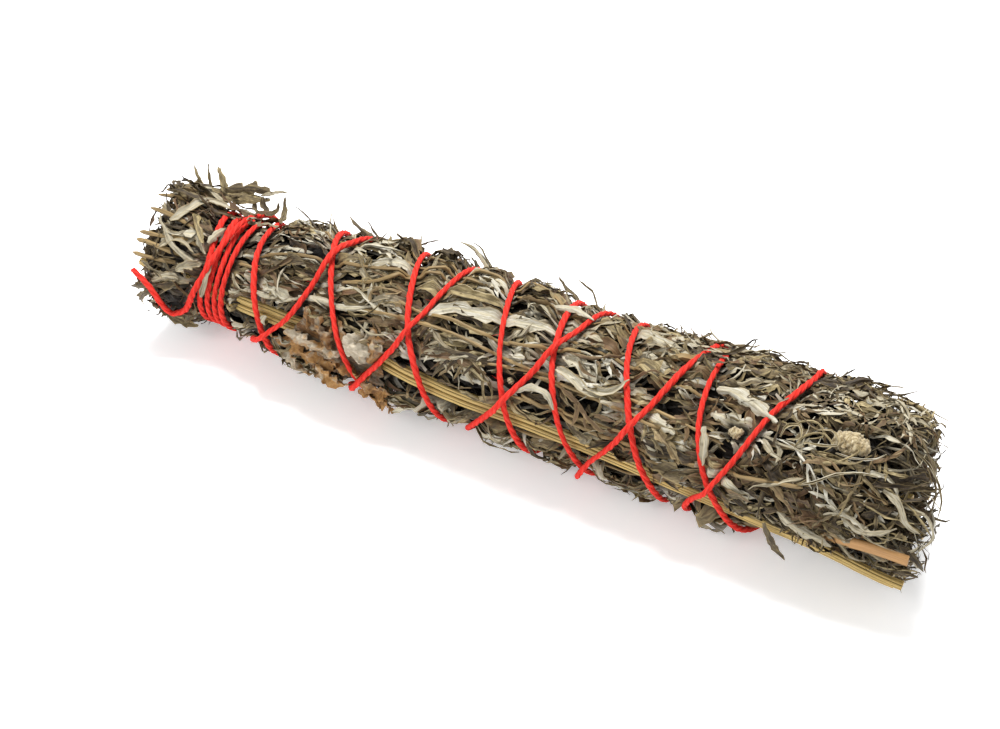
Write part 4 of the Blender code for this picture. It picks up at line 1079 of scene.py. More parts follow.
def wrinkles(along, across, seed):
    """A smooth uneven height, from about -1 to 1, for places on a leaf in mm."""
    return (
        np.sin(0.62 * along + 0.9 * across + 1.7 * seed) + np.sin(1.25 * along - 1.1 * across + 2.9 * seed)
        + 0.7 * np.sin(2.3 * along + 2.4 * across + 4.1 * seed) + 0.45 * np.sin(3.9 * along + 5.3 * seed)
    ) / 2.2


def blade_halves(batch, share):
    """The half widths on both sides of each leaf, station by station."""
    shape = batch["kind"]
    pointed = np.minimum(1, (share + 0.05) / 0.28) ** 0.7 * (1 - share ** 3.2) ** 0.8
    wide = batch["half"][:, None] * (0.12 + 0.88 * pointed)
    halves = []
    for side in (0, 1):
        phase = batch["phase"][:, side, None]
        ragged = 1 + 0.16 * np.sin(19 * share + phase * 5) + 0.10 * np.sin(41 * share + phase * 3)
        if shape["teeth"]:
            climb = (share * shape["teeth"] + phase / 3) % 1
            ragged = ragged * (1 - shape["tooth"] * (1 - climb ** 1.3))
        halves.append(wide * ragged)
    return halves


def add_ribbons(pile, batch, path, outward, pale, room, press=None, both=True):
    """Adds one curled, crumpled ribbon for each path, which is (leaf, station, 3) in mm.

    The room goes from 0, where a leaf is held flat, to 1. With both, the ribbon is a closed sheet.
    """
    shape = batch["kind"]
    count, stations = path.shape[:2]
    columns = shape["columns"]
    share = np.linspace(0, 1, stations)
    along, out, across = frames(path, outward)
    twist = (batch["twist"][:, :1] + batch["twist"][:, 1:] * share) * (0.25 + 0.75 * room)
    turn_cos, turn_sin = np.cos(twist)[..., None], np.sin(twist)[..., None]
    facing = (turn_cos * out + turn_sin * across)[:, :, None, :]
    across = (turn_cos * across - turn_sin * out)[:, :, None, :]
    left, right = blade_halves(batch, share)
    side = np.linspace(-1, 1, columns)
    half = np.where(side > 0, right[..., None], left[..., None])
    free = room[..., None]
    fold, roll, length, seed = (batch[name][:, None, None] for name in ("fold", "roll", "length", "seed"))
    roll = roll * (0.35 + 0.65 * free)
    arc = roll * side
    sideways = half * np.sin(arc) / roll
    up = half * (1 - np.cos(arc)) / roll
    fold = fold * (0.3 + 0.7 * free)
    sideways = sideways * np.cos(fold)
    up = up + np.abs(sideways) * np.sin(fold)
    lengthwise = length * share[:, None]
    heights = shape["crumple"] * (0.25 + 0.75 * free) * (0.45 + 0.55 * np.abs(side))
    up = up + heights * wrinkles(lengthwise, half * side * 1.4, seed)
    sway = heights * 0.8 * wrinkles(lengthwise * 0.8, half * side, seed + 9)
    centre = path[:, :, None, :] + across * (sideways + sway)[..., None]
    centre = centre + facing * up[..., None]
    if shape["teeth"]:
        centre = centre + along[:, :, None, :] * (np.abs(sideways) * 0.5)[..., None]
    if press:
        centre = press(centre)
    if both:
        tilt = (arc + fold * np.sign(side))[..., None]
        skin = (facing * np.cos(tilt) - across * np.sin(tilt)) * (LEAF_THICKNESS / 2)
        points = np.stack((centre + skin, centre - skin), axis=3)
        faces = sheet_faces(stations, columns)
    else:
        points = centre[:, :, :, None, :]
        faces = patch(np.arange(stations * columns).reshape(stations, columns))
    whole = points.shape[:-1]

    def spread(values):
        return np.broadcast_to(values, whole)

    size = whole[1] * whole[2] * whole[3]
    faces = (faces[None] + (np.arange(count) * size)[:, None, None]).reshape(-1, 4)
    under = spread(np.arange(whole[3]))
    places = np.stack([spread(value[..., None]) for value in (lengthwise, half * side, seed)], axis=-1)
    tone, warm, pale = (values[:, None, None, None] for values in (batch["tone"], batch["warm"], pale))
    pile.add(
        points, [faces], place=places, tone=spread(tone).ravel(), warm=spread(warm).ravel(),
        pale=np.where(pale > 0.5, 1 - under, under).ravel(), edge=spread(np.abs(side)[:, None]).ravel(),
    )


def lay_leaves(pile, surface, batch, x, angle, heading, depth, puff, pale, under=True):
    """Leaves that lie round the bundle from a root, and puff up between the turns of string.

    Those that aren't held under the string may lie over it.
    """
    stations = batch["kind"]["stations"]
    share = np.linspace(0, 1, stations)
    step = batch["length"][:, None] / (stations - 1)
    sway = 0.16 * np.sin(5 * share + batch["phase"][:, :1])
    course = heading[:, None] + batch["bend"][:, None] * (share - 0.3) * 1.6 + sway
    ahead = np.cumsum(step * np.cos(course), axis=1)
    aside = np.cumsum(step * np.sin(course), axis=1)
    place_angle = angle[:, None] + np.degrees(aside / string_radius(x)[:, None])
    slack = 2.2 * np.sin(batch["seed"])[:, None] - 1.0
    place_x = held(x[:, None] + ahead, place_angle, 15.0, slack)
    room = surface.room(place_x, place_angle)
    press = surface.pressed if under else None
    if not under:
        room = np.maximum(room, LEAST_ROOM_OVER)
    ripple = 0.35 * np.sin(8 * share + batch["phase"][:, 1:2]) * room
    lift = batch["lift"][:, None] * share ** 2.2 * room
    radius = string_radius(place_x) - 1.3 - depth[:, None] + room * puff[:, None] + ripple + lift
    path = round_bundle(place_x, place_angle, radius)
    if press:
        path = press(path)
    add_ribbons(pile, batch, path, outward_at(path), pale, room, press, both=False)
    return path


def some(rng, share, count):
    """1 for about this share of the leaves and 0 for the others."""
    return (rng.random(count) < share).astype(float)


def pale_share(x):
    """How many leaves show their pale side, along the bundle."""
    return np.interp(x, *zip(*PALE_SHARES))


def cover_sprig(pile, surface, rng, index, count):
    """The leaves over one outer sprig."""
    for kind, part in OUTER_SHARES.items():
        number = round(count * part)
        batch = leaf_batch(rng, kind, number)
        x = rng.uniform(CORE_ENDS[0] - 4, CORE_ENDS[1] + 2, number)
        if kind == "broad":
            x = x - eased(x, *RIGHT_END) * rng.uniform(20, 120, number)
        right_end, left_end = eased(x, *RIGHT_END), eased(x, *LEFT_END)
        low, high = border(index, x), border(index + 1, x)
        angle = low + (high - low) * rng.random(number)
        forward = rng.random(number) < 0.5 + x / 260
        forward = np.where(x > 95, rng.random(number) < 0.25, forward)
        forward = np.where(x < -90, rng.random(number) < 0.8, forward)
        spread = 0.2 + 0.3 * right_end + (0.5 if kind == "crumb" else 0)
        heading = np.where(forward, 0, np.pi) + rng.normal(0, 1, number) * spread
        batch["half"] *= 1 - 0.4 * right_end
        batch["bend"] *= 1 + 1.3 * right_end
        toned(batch, 0.02 * right_end - 0.48 * eased(x, *LEFT_DARK))
        top_share = 0.55 if kind == "broad" else 0.22 + 0.1 * right_end
        on_top = rng.random(number) < top_share * (1 - 0.6 * left_end)
        depth = np.where(on_top, rng.uniform(*TOP_DEPTH, number), rng.uniform(*HIDDEN_DEPTH, number))
        puff = np.where(on_top, rng.uniform(*TOP_PUFF, number), rng.uniform(*HIDDEN_PUFF, number))
        pale = some(rng, pale_share(x), number)
        for chosen, detail in ((on_top, batch["kind"]), (~on_top, HIDDEN_DETAIL.get(kind))):
            shown = part_of(batch, chosen, detail)
            place = [values[chosen] for values in (x, angle, heading, depth, puff, pale)]
            path = lay_leaves(pile, surface, shown, *place)
            if detail is batch["kind"] and kind in ("strap", "rolled"):
                add_lobes(pile, surface, rng, shown, path, *place[2:])


def add_tufts(pile, surface, rng, index):
    """Leaves that stand up higher than the string here and there, most on the top of the left end."""
    for sprig, left, right, low, high, height, count, over in TUFTS:
        if sprig != index:
            continue
        for kind, part in TUFT_KINDS:
            number = round(count * part)
            batch = leaf_batch(rng, kind, number)
            batch["length"] *= 0.8
            toned(batch, TUFT_TONE)
            x = rng.uniform(left, right, number)
            angle = rng.uniform(low, high, number)
            heading = rng.normal(0, 0.5, number) + np.pi * (rng.random(number) < 0.5)
            depth = -rng.uniform(0, 0.8, number)
            inside = np.sin(np.pi * (x - left) / (right - left)) ** 0.7
            puff = height * inside * rng.random(number) ** 0.8
            pale = some(rng, 0.6 * pale_share(x), number)
            lay_leaves(pile, surface, batch, x, angle, heading, depth, puff, pale, under=not over)


def add_lobes(pile, surface, rng, batch, path, heading, depth, puff, pale):
    """Side lobes that branch from some of the leaves, as cut mugwort leaves have them."""
    chosen = np.flatnonzero(rng.random(len(path)) < 0.6)
    count = len(chosen)
    for station in (3, 5, 7):
        same = {name: batch[name][chosen] for name in ("tone", "warm", "seed")}
        lobes = leaf_batch(rng, "lobe", count, **same)
        x, angle, _ = round_places(path[chosen, station])
        side = np.where(rng.random(count) < 0.5, 1, -1)
        turn = heading[chosen] + side * rng.uniform(0.45, 0.9, count)
        lay_leaves(pile, surface, lobes, x, angle, turn, depth[chosen], puff[chosen], pale[chosen])


def tip_limit(end, angle, radius):
    """How far out along the bundle leaf tips reach at one end, for a place on its end face."""
    middle = 1 - np.clip(radius / 19, 0, 1) ** 2
    angles, reaches = zip(*(RIGHT_TIPS if end > 0 else LEFT_TIPS))
    return np.interp((angle + 90) % 360 - 90, angles, reaches) + end * 1.5 * middle


def held(x, angle, radius, slack):
    """Places along the bundle drawn in so that tips crowd up short of the ends."""
    for end in (1, -1):
        start = end * tip_limit(end, angle, radius) + slack - TIP_CROWD
        over = np.maximum(0, end * x - start)
        x = end * (np.minimum(end * x, start) + TIP_CROWD * (1 - np.exp(-over / TIP_CROWD)))
    return x


def along_points(points, share):
    """Places along a smooth line through points given as (x, angle, height above the string)."""
    knots = np.array(points, float)
    radius = string_radius(knots[:, 0])
    places = distances(stacked(knots[:, 0], np.radians(knots[:, 1]) * radius, knots[:, 2]))
    x, angle, height = (smooth(places / places[-1], knots[:, column], share) for column in range(3))
    return round_bundle(x, angle, string_radius(x) + height), places[-1]


def toward_viewer(path):
    """Directions that face partly out of the bundle and mostly towards its lit front side."""
    return outward_at(path) * 0.5 + (0.34, -0.66, 0.67)


def add_chosen(pile, surface, rng, index):
    """The leaves that the eye picks out on one sprig."""
    for sprig, kind, half, pale, tone, warm, points in CHOSEN_LEAVES:
        if sprig != index:
            continue
        shape = LEAF_KINDS[kind]
        path, length = along_points(points, np.linspace(0, 1, shape["stations"]))
        batch = leaf_batch(rng, kind, 1, length=length, half=half, tone=tone, warm=warm)
        batch["kind"] = dict(shape, crumple=shape["crumple"] * 0.6, tooth=shape["tooth"] * 0.6)
        batch["twist"] *= 0.4
        press = surface.under_string if max(point[2] for point in points) < 1.45 else None
        room = np.ones((1, len(path)))
        if press:
            path = press(path)
        add_ribbons(pile, batch, path[None], toward_viewer(path)[None], np.array([float(pale)]), room, press)


def add_stem(pile, rng, path, radius, finish):
    """A thin dry stem, uneven along its length."""
    path, places = evenly(path, 1.3)
    sides = 6
    knobs = 1 + 0.12 * np.sin(places * 0.7 + rng.uniform(0, 6)) + 0.08 * np.sin(places * 1.9)
    taper = np.clip(np.minimum(places, places[-1] - places) / 2.5 + 0.35, 0, 1)
    turn = np.broadcast_to(np.cos(turns(sides)), (len(path), sides))
    place = stacked(places[:, None] + rng.uniform(0, 90), turn * radius, 0.0)
    points = tube_points(path, outward_at(path), radius * knobs * taper, sides)
    # The edge value makes the finish paint the stem's side that faces into the bundle in the groove colour:
    # painted shade.
    pile.add(
        points, tube_faces(len(path), sides), place=place, finish=finish, tone=rng.random(),
        edge=(0.55 + 0.45 * turn).ravel(),
    )


def add_stems(pile, surface, rng, index, finish):
    """Thin stems among one sprig's leaves: the chosen ones and some more."""
    for sprig, radius, points in CHOSEN_STEMS:
        if sprig == index:
            path, _ = along_points(points, np.linspace(0, 1, 60))
            add_stem(pile, rng, surface.stem_pressed(path), radius, finish)
    for _ in range(STEMS_A_SPRIG[index]):
        length = rng.uniform(25, 75)
        left = rng.uniform(CORE_ENDS[0] - 4, CORE_ENDS[1] + 6 - length)
        x = np.linspace(left, left + length, 60)
        low, high = border(index, x.mean()), border(index + 1, x.mean())
        angle = rng.uniform(low + 5, high - 5) + rng.normal(0, 5) * np.sin(x / 17 + rng.uniform(0, 6))
        height = -rng.uniform(-0.4, 1.6) + 0.8 * np.sin(x / 9 + rng.uniform(0, 6))
        path = surface.stem_pressed(surface.pressed(round_bundle(x, angle, string_radius(x) + height)))
        add_stem(pile, rng, path, rng.uniform(0.28, 0.5), finish)


def free_leaves(pile, surface, rng, kind, roots, direction, pale, length, tone):
    """Leaves that reach out past the ends: each curves from its root, and curls at its tip."""
    count = len(roots)
    batch = leaf_batch(rng, kind, count, length=length)
    toned(batch, tone)
    share = np.linspace(0, 1, batch["kind"]["stations"])
    out = outward_at(roots)
    drift = rng.normal(0, 0.30, (count, 3)) + out * rng.normal(0.08, 0.2, count)[:, None]
    drift[:, 0] *= 0.3
    curl = rng.normal(0, 0.40, (count, 3))
    reach = length[:, None, None]
    path = roots[:, None, :] + direction[:, None, :] * reach * share[:, None]
    path = path + drift[:, None, :] * reach * share[:, None] ** 2
    path = path + curl[:, None, :] * reach * share[:, None] ** 4
    spiral = rng.uniform(0, 2 * np.pi, (count, 1)) + 9 * share
    swing = (0.6 * np.sqrt(np.maximum(length, 1)) * 0.25)[:, None] * share
    path[..., 1] += swing * np.cos(spiral)
    path[..., 2] += swing * np.sin(spiral)
    middle = path * (0, 1, 1)
    middle[..., 2] -= middle_height(path[..., 0])
    swell = np.linalg.norm(middle, axis=-1)
    most = string_radius(np.clip(path[..., 0], -108, 118)) + 0.8
    shrink = np.minimum(1, most / np.maximum(swell, 0.1))
    path[..., 1] *= shrink
    path[..., 2] = middle_height(path[..., 0]) + middle[..., 2] * shrink
    x, angle, radius = round_places(path)
    path[..., 0] = held(x, angle, radius, rng.normal(0, 1.1, (count, 1)))
    path = surface.pressed(path)
    room = np.ones(path.shape[:2])
    add_ribbons(pile, batch, path, outward_at(path), pale, room, surface.pressed, both=False)


def fill_end(pile, surface, rng, count, end, low, high, inner, outer):
    """Leaf tips that stand out of one end of a sprig, at all depths. The end is -1 or 1."""
    for kind, part in TIP_KINDS[end]:
        number = round(count * part)
        x = CORE_ENDS[end > 0] - end * rng.uniform(-3, 11, number)
        angle = rng.uniform(low, high, number)
        radius = np.sqrt(rng.uniform(inner ** 2, outer ** 2, number))
        roots = round_bundle(x, angle, radius)
        direction = stacked(float(end), rng.normal(0, 0.2, number), rng.normal(0, 0.2, number))
        most = np.abs(tip_limit(end, angle, radius) - x) + rng.normal(0, 1.2, number)
        length = np.maximum(4, most * rng.uniform(0.6, 1.0, number))
        pale = some(rng, TIP_PALE[end], number)
        free_leaves(pile, surface, rng, kind, roots, direction, pale, length, TIP_TONE[end])


def core_points(index, low_radius, rng):
    """A wedge of pressed leaf inside a sprig, as rings of points along it."""
    rings = []
    for x in np.linspace(CORE_ENDS[0] + 2, CORE_ENDS[1] - 3, 70):
        low, high = border(index, x), border(index + 1, x)
        outer = string_radius(x) - CORE_DEPTH
        angles = np.linspace(low + 0.6, high - 0.6, 12)
        ring = [round_bundle(x, angle, outer - rng.uniform(0, 1.1)) for angle in angles]
        ring += [round_bundle(x, angle, low_radius) for angle in np.linspace(angles[-1], angles[0], 5)]
        rings.append(ring)
    return np.array(rings)


def outer_sprig(surface, index, leaves):
    """One of the six outer sprigs: core, leaves, tips, tufts and thin stems."""
    rng = np.random.default_rng(leaves.seed + index)
    pile = Pile()
    points = core_points(index, CORE_INNER, rng)
    pile.add(points, tube_faces(*points.shape[:2], forward=False), finish=1)
    cover_sprig(pile, surface, rng, index, round(LEAVES_A_SPRIG[index] * leaves.density))
    for end in (-1, 1):
        x = CORE_ENDS[end > 0]
        low, high = border(index, x), border(index + 1, x)
        tips = leaves.per_end * MORE_TIPS.get((end, index), 1)
        fill_end(pile, surface, rng, tips, end, low, high, 5.5, string_radius(x) - 1)
    add_tufts(pile, surface, rng, index)
    add_chosen(pile, surface, rng, index)
    add_stems(pile, surface, rng, index, 2)
    return pile


def middle_sprig(surface, leaves):
    """The sprig in the middle, of which only the tips show."""
    rng = np.random.default_rng(leaves.seed + 6)
    pile = Pile()
    path = round_bundle(np.linspace(CORE_ENDS[0] + 2, CORE_ENDS[1] - 3, 12), 0, 0)
    upward = np.broadcast_to((0.0, 0.0, 1.0), path.shape)
    pile.add(tube_points(path, upward, MIDDLE_CORE, 16), tube_faces(12, 16), finish=1)
    for end in (-1, 1):
        fill_end(pile, surface, rng, MIDDLE_COUNT, end, 0, 360, *MIDDLE_TIPS)
    return pile


# Stalks, buds, the brown leaf and the string


def add_stalk(pile, rng, path, radius, ribs, groove, sides, step):
    """A ribbed stalk along a path, with pith sunk into its two cut ends."""
    path, places = evenly(path, step)
    _, out, across = frames(path, outward_at(path))
    turn = turns(sides)
    ridge = np.abs(np.cos(ribs * turn / 2)) ** 0.6
    knobs = 1 + 0.035 * np.sin(places * 0.21 + rng.uniform(0, 6)) + 0.02 * np.sin(places * 0.9)
    body = radius * knobs[:, None] * (1 - groove * (1 - ridge))
    along = unit(np.gradient(path, axis=0))
    # Each row is the station that a ring belongs to, how far it is sunk, its size, and whether it is cut.
    start = [(0, sunk, inset, 1.0) for inset, sunk in STALK_CUT]
    finish = [(len(path) - 1, -sunk, inset, 1.0) for inset, sunk in reversed(STALK_CUT)]
    rows = start + [(station, 0.0, 1.0, 0.0) for station in range(len(path))] + finish
    station, sunk, inset, cut = (np.array(column) for column in zip(*rows))
    rings = path[station] + along[station] * sunk[:, None]
    ring = ring_directions(out[station], across[station], sides)
    points = rings[:, None, :] + ring * (body[station] * inset[:, None])[..., None]
    rim = np.where(inset > 0.6, 0.75, 1.0)[:, None]
    place = stacked(
        places[station][:, None] + rng.uniform(0, 90), radius * np.cos(turn), radius * np.sin(turn)
    )
    pile.add(
        points, tube_faces(len(rings), sides), place=place, tone=rng.random(),
        pale=np.repeat(cut, sides), edge=np.where(cut[:, None] > 0, rim, ridge).ravel(),
    )


def add_flat_stalk(pile, path):
    """A split stalk: a flat strip with a rounded back."""
    _, out, across = frames(path, outward_at(path))
    turn = turns(20)
    section = np.sign(np.cos(turn)) * np.abs(np.cos(turn)) ** 0.7 * FLAT_WIDE
    height = np.sign(np.sin(turn)) * np.abs(np.sin(turn)) ** 0.8 * FLAT_THICK + 0.08 * np.cos(turn * 7)
    points = path[:, None, :] + across[:, None, :] * section[:, None] + out[:, None, :] * height[:, None]
    place = stacked(np.arange(len(path))[:, None] * 1.3, section, height)
    pile.add(points, tube_faces(len(path), 20, forward=False), place=place, tone=0.6, edge=1.0)


def bare_stalk_path(index):
    """A bare stalk's middle line. Past the last turn of string it springs away from the leaves."""
    (left, right), beside = BARE_STALKS[index]
    x = np.linspace(left, right, 60)
    dip = COVERED_DIP * np.interp(x, COVERED, (0, 1, 1, 0))
    radius = string_radius(x) - STALK_DEPTH - dip + splay(x)
    angle = stalk_angle(x) + np.degrees(beside / radius) + SPLAY_TURN * splay_share(x)
    return round_bundle(x, angle, radius)


def crumple(rng, points, size, terms=9):
    """A smooth random height from about -1 to 1 at each point, in folds of about this size."""
    directions = rng.normal(size=(terms, 3)) * 2.2 / size
    phases = rng.uniform(0, 2 * np.pi, terms)
    return np.sin(points @ directions.T + phases).mean(-1) * 1.6


def add_sheet(pile, centre, thickness, **values):
    """Adds a thin closed sheet round a grid of points."""
    down = np.gradient(centre, axis=0)
    across = np.gradient(centre, axis=1)
    normal = unit(np.cross(down, across))
    points = np.stack((centre + normal * thickness / 2, centre - normal * thickness / 2), axis=2)
    pile.add(points, [sheet_faces(*centre.shape[:2])], **values)


def brown_leaf_grid(surface, rng):
    """The lowest layer of the crumpled brown leaf, ragged round its edge."""
    along, across = 66, 61
    u = np.linspace(0, 1, along)[:, None]
    v = np.linspace(1, -1, across)[None, :]
    knots = np.linspace(0, 1, len(BROWN_EDGES))
    above, below = (np.interp(u, knots, edge) for edge in zip(*BROWN_EDGES))
    ragged = 1 + 0.10 * np.sin(41 * u + 2 * np.sin(17 * u)) + 0.06 * np.sin(97 * u)
    half = BROWN_HALF * np.where(v > 0, above, below) * ragged
    x = np.clip(np.interp(u, (0, 1), BROWN_X) + 1.3 * np.sin(6 * v + 4 * u), *BROWN_X)
    angle = np.interp(u, (0, 1), BROWN_MIDDLE) + v * half
    flat = round_bundle(x, angle, string_radius(x) - BROWN_DEPTH)
    room = surface.room(x, angle)
    folds = 0.5 * (1 + crumple(rng, flat, 4.0)) + 0.35 * crumple(rng, flat, 1.9)
    return round_bundle(x, angle, string_radius(x) - BROWN_DEPTH - 0.1 + room * np.maximum(0, folds))


def add_flap(pile, surface, rng, points, half, tone, warm):
    """One crumpled piece of the brown leaf, that stands off the layer below except under the string."""
    path, length = along_points(points, np.linspace(0, 1, LEAF_KINDS["flap"]["stations"]))
    batch = leaf_batch(rng, "flap", 1, length=length, half=half, tone=tone, warm=warm)
    x, angle, _ = round_places(path)
    room = surface.room(x, angle)[None]
    add_ribbons(pile, batch, path[None], outward_at(path)[None], np.zeros(1), room, surface.under_string)


def add_bud(pile, rng, centre, radius, axis):
    """A floret: a small woolly bud with overlapping scales."""
    share = np.linspace(-1, 1, 13)
    path = centre + axis * share[:, None] * radius * 1.15
    swell = np.sqrt(np.maximum(0.02, 1 - share ** 2)) * (1 + 0.12 * np.sin(share * 9))
    scales = 0.13 * np.sin(4 * turns(18) + 4.5 * share[:, None]) + 0.05 * rng.normal(size=(13, 18))
    radii = radius * swell[:, None] * (1 + scales)
    points = tube_points(path, outward_at(path), radii, 18)
    # edge is higher where a scale stands out; the wool finish paints shade between the scales from it.
    pile.add(points, tube_faces(13, 18), tone=rng.random(), edge=np.clip(0.5 + scales * 3, 0, 1).ravel())


def bud_florets(rng, index):
    """The middle, radius and direction of each floret of a bud cluster."""
    x, angle, long, wide, count, size = BUDS[index]
    base = string_radius(x) - 1.9
    for k in range(count):
        out = math.sqrt((k + 0.5) / count)
        turn = GOLDEN_TURN * k
        floret = size * rng.uniform(0.8, 1.15)
        height = base + floret * 0.9 + (1 - out) * size
        across = math.degrees(wide * out * math.sin(turn) / height)
        centre = round_bundle(x + long * out * math.cos(turn), angle + across, height)
        axis = rng.normal(size=3) * 0.5 + (0.9, 0, 0.2)
        yield centre, floret, unit(axis)


def add_plies(pile, line, string_size, plies, pitch):
    """The string: plies twisted round its middle line, which is given back."""
    path, places = evenly(line, 0.9)
    _, out, across = frames(path, outward_at(path))
    sides = 6
    swelling = 0.86 + 0.07 * np.sin(places * 0.083) + 0.04 * np.sin(places * 0.31 + 1)
    for ply in range(plies):
        phase = 2 * np.pi * (places / pitch + ply / plies)
        toward = out * np.cos(phase)[:, None] + across * np.sin(phase)[:, None]
        middle = path + toward * (string_size * 0.17 * swelling)[:, None]
        loose = 1 + 0.05 * np.sin(places * 1.7 + ply) + 0.04 * np.sin(places * 0.53 + 2 * ply)
        points = tube_points(middle, toward, string_size * 0.29 * loose * swelling, sides)
        # rim: 0 where a ply faces the string's middle, 1 on its outside; the cotton finish paints shade and
        # highlight from it.
        rim = np.broadcast_to(0.5 + 0.5 * np.cos(turns(sides)), (len(path), sides))
        round_ply = np.arange(sides) * 4 / sides + places[:, None] * 0.45
        place = stacked(places[:, None] + 200 * ply, round_ply, ply * 3.0)
        pile.add(points, tube_faces(len(path), sides), place=place, tone=0.5, edge=rim.ravel())
    return path


def add_fuzz(pile, rng, path, count):
    """Fine loose fibres that stand off the string."""
    chosen = rng.integers(4, len(path) - 4, count)
    out = outward_at(path[chosen])
    direction = unit(out * rng.uniform(0.2, 1, count)[:, None] + rng.normal(0, 0.7, (count, 3)))
    share = np.linspace(0, 1, 4)[:, None]
    reach = rng.uniform(0.9, 2.0, count)[:, None, None]
    bow = rng.normal(0, 0.25, (count, 1, 3))
    paths = path[chosen][:, None, :] + (direction[:, None, :] * share + bow * share ** 2) * reach
    hair = dict(stations=4, columns=2, crumple=0.0, teeth=0, tooth=0.0)
    zeros = np.zeros(count)
    batch = dict(
        kind=hair, length=reach[:, 0, 0], half=np.full(count, 0.035), roll=np.full(count, 0.1), fold=zeros,
        twist=np.zeros((count, 2)), phase=np.zeros((count, 3)), tone=zeros + 0.5, warm=zeros, seed=zeros,
    )
    facing = outward_at(paths) + (0.3, 0, 0)
    add_ribbons(pile, batch, paths, facing, zeros, np.ones(paths.shape[:2]), both=False)


# Settings


class LeafSettings(bpy.types.PropertyGroup):
    density: FloatProperty(
        name="Density", description="How many leaves are laid over the sprigs, 1 for the usual", default=1.0
    )
    per_end: IntProperty(name="Tips an end", description="Leaf tips at each end of a sprig", default=90)
    seed: IntProperty(name="Seed", description="Where the random draws start", default=7)


class StringSettings(bpy.types.PropertyGroup):
    size: FloatProperty(
        name="Diameter", description="Across the string", default=0.002, subtype="DISTANCE", unit="LENGTH"
    )
    pitch: FloatProperty(
        name="Twist", description="Length of one turn of the plies", default=0.0085, unit="LENGTH"
    )
    plies: IntProperty(name="Plies", description="Strands twisted together", default=3)
    fibres: IntProperty(name="Fibres", description="Loose fibres that stand off the string", default=700)
    colour: FloatVectorProperty(
        name="Colour", description="Of the cotton", default=tint(216, 36, 26), subtype="COLOR", size=3
    )


class StalkSettings(bpy.types.PropertyGroup):
    ribs: IntProperty(name="Ribs", description="Ribs round a bare stalk", default=7)


class StageSettings(bpy.types.PropertyGroup):
    azimuth: FloatProperty(name="Camera turn", description="Degrees round from the front", default=27.5333)
    elevation: FloatProperty(name="Camera height", description="Degrees above the floor", default=42.0)
    distance: FloatProperty(
        name="Camera distance", description="From the aim", default=0.65, subtype="DISTANCE", unit="LENGTH"
    )
    lens: FloatProperty(name="Lens", description="Focal length in millimetres", default=93.431)
    shift: FloatProperty(
        name="Camera shift", description="Sideways, as a share of the frame", default=-0.01386
    )
    aim_height: FloatProperty(
        name="Aim height", description="Above the floor", default=0.0206, subtype="DISTANCE", unit="LENGTH"
    )
    key_light: FloatProperty(name="Key light", description="Power of the main light in watts", default=15.0)
    fill_light: FloatProperty(name="Surroundings", description="Strength of the white room", default=0.62)
    floor: FloatVectorProperty(
        name="Floor", description="Colour of the floor", default=(0.97, 0.97, 0.97), subtype="COLOR", size=3
    )


class SmudgeStickSettings(bpy.types.PropertyGroup):
    leaves: PointerProperty(type=LeafSettings)
    string: PointerProperty(type=StringSettings)
    stalks: PointerProperty(type=StalkSettings)
    stage: PointerProperty(type=StageSettings)


def settings():
    return bpy.context.scene.smudge_stick


# Operators


class SMUDGE_OT_stage(bpy.types.Operator):
    """Sets up the camera, the white floor and the soft light"""

    bl_idname = "smudge.stage"
    bl_label = "Stage"

    def execute(self, context):
        stage = settings().stage
        turn, up = math.radians(stage.azimuth), math.radians(stage.elevation)
        back = Vector((math.sin(turn) * math.cos(up), -math.cos(turn) * math.cos(up), math.sin(up)))
        camera = bpy.data.objects.new("camera", bpy.data.cameras.new("camera"))
        camera.data.lens = stage.lens
        camera.data.sensor_width = 36.0
        camera.data.shift_x = stage.shift
        camera.data.clip_start = 0.05
        camera.data.clip_end = 20.0
        camera.location = Vector((0, 0, stage.aim_height)) + back * stage.distance
        camera.rotation_euler = (-back).to_track_quat("-Z", "Y").to_euler()
        context.scene.collection.objects.link(camera)
        context.scene.camera = camera
        context.scene.view_settings.view_transform = "Standard"

        bpy.ops.mesh.primitive_plane_add(size=6.0, location=(0, 0, -0.0002))
        floor = context.object
        floor.name = "floor"
        floor.data.materials.append(floor_finish(stage.floor))
        floor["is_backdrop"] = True

        world = bpy.data.worlds.new("white_room")
        world.use_nodes = True
        room = world.node_tree.nodes["Background"]
        room.inputs["Color"].default_value = (1.0, 1.0, 1.0, 1.0)
        room.inputs["Strength"].default_value = stage.fill_light
        context.scene.world = world
        for name, place, size, share in LIGHTS:
            light = bpy.data.objects.new(name, bpy.data.lights.new(name, "AREA"))
            light.data.size = size
            light.data.energy = stage.key_light * share
            light.location = place
            light.rotation_euler = Vector(place).to_track_quat("Z", "Y").to_euler()
            context.scene.collection.objects.link(light)
        return {"FINISHED"}


class SMUDGE_OT_string(bpy.types.Operator):
    """Twists the red cotton string along its turns round the bundle"""

    bl_idname = "smudge.string"
    bl_label = "Binding string"

    def execute(self, context):
        string = settings().string
        rng = np.random.default_rng(settings().leaves.seed + 100)
        pile = Pile()
        path = add_plies(pile, string_line(), string.size / MM, string.plies, string.pitch / MM)
        add_fuzz(pile, rng, path, string.fibres)
        pile.piece("red_string", [cotton_finish(string.colour)], "red_cotton", "binding_string")
        return {"FINISHED"}


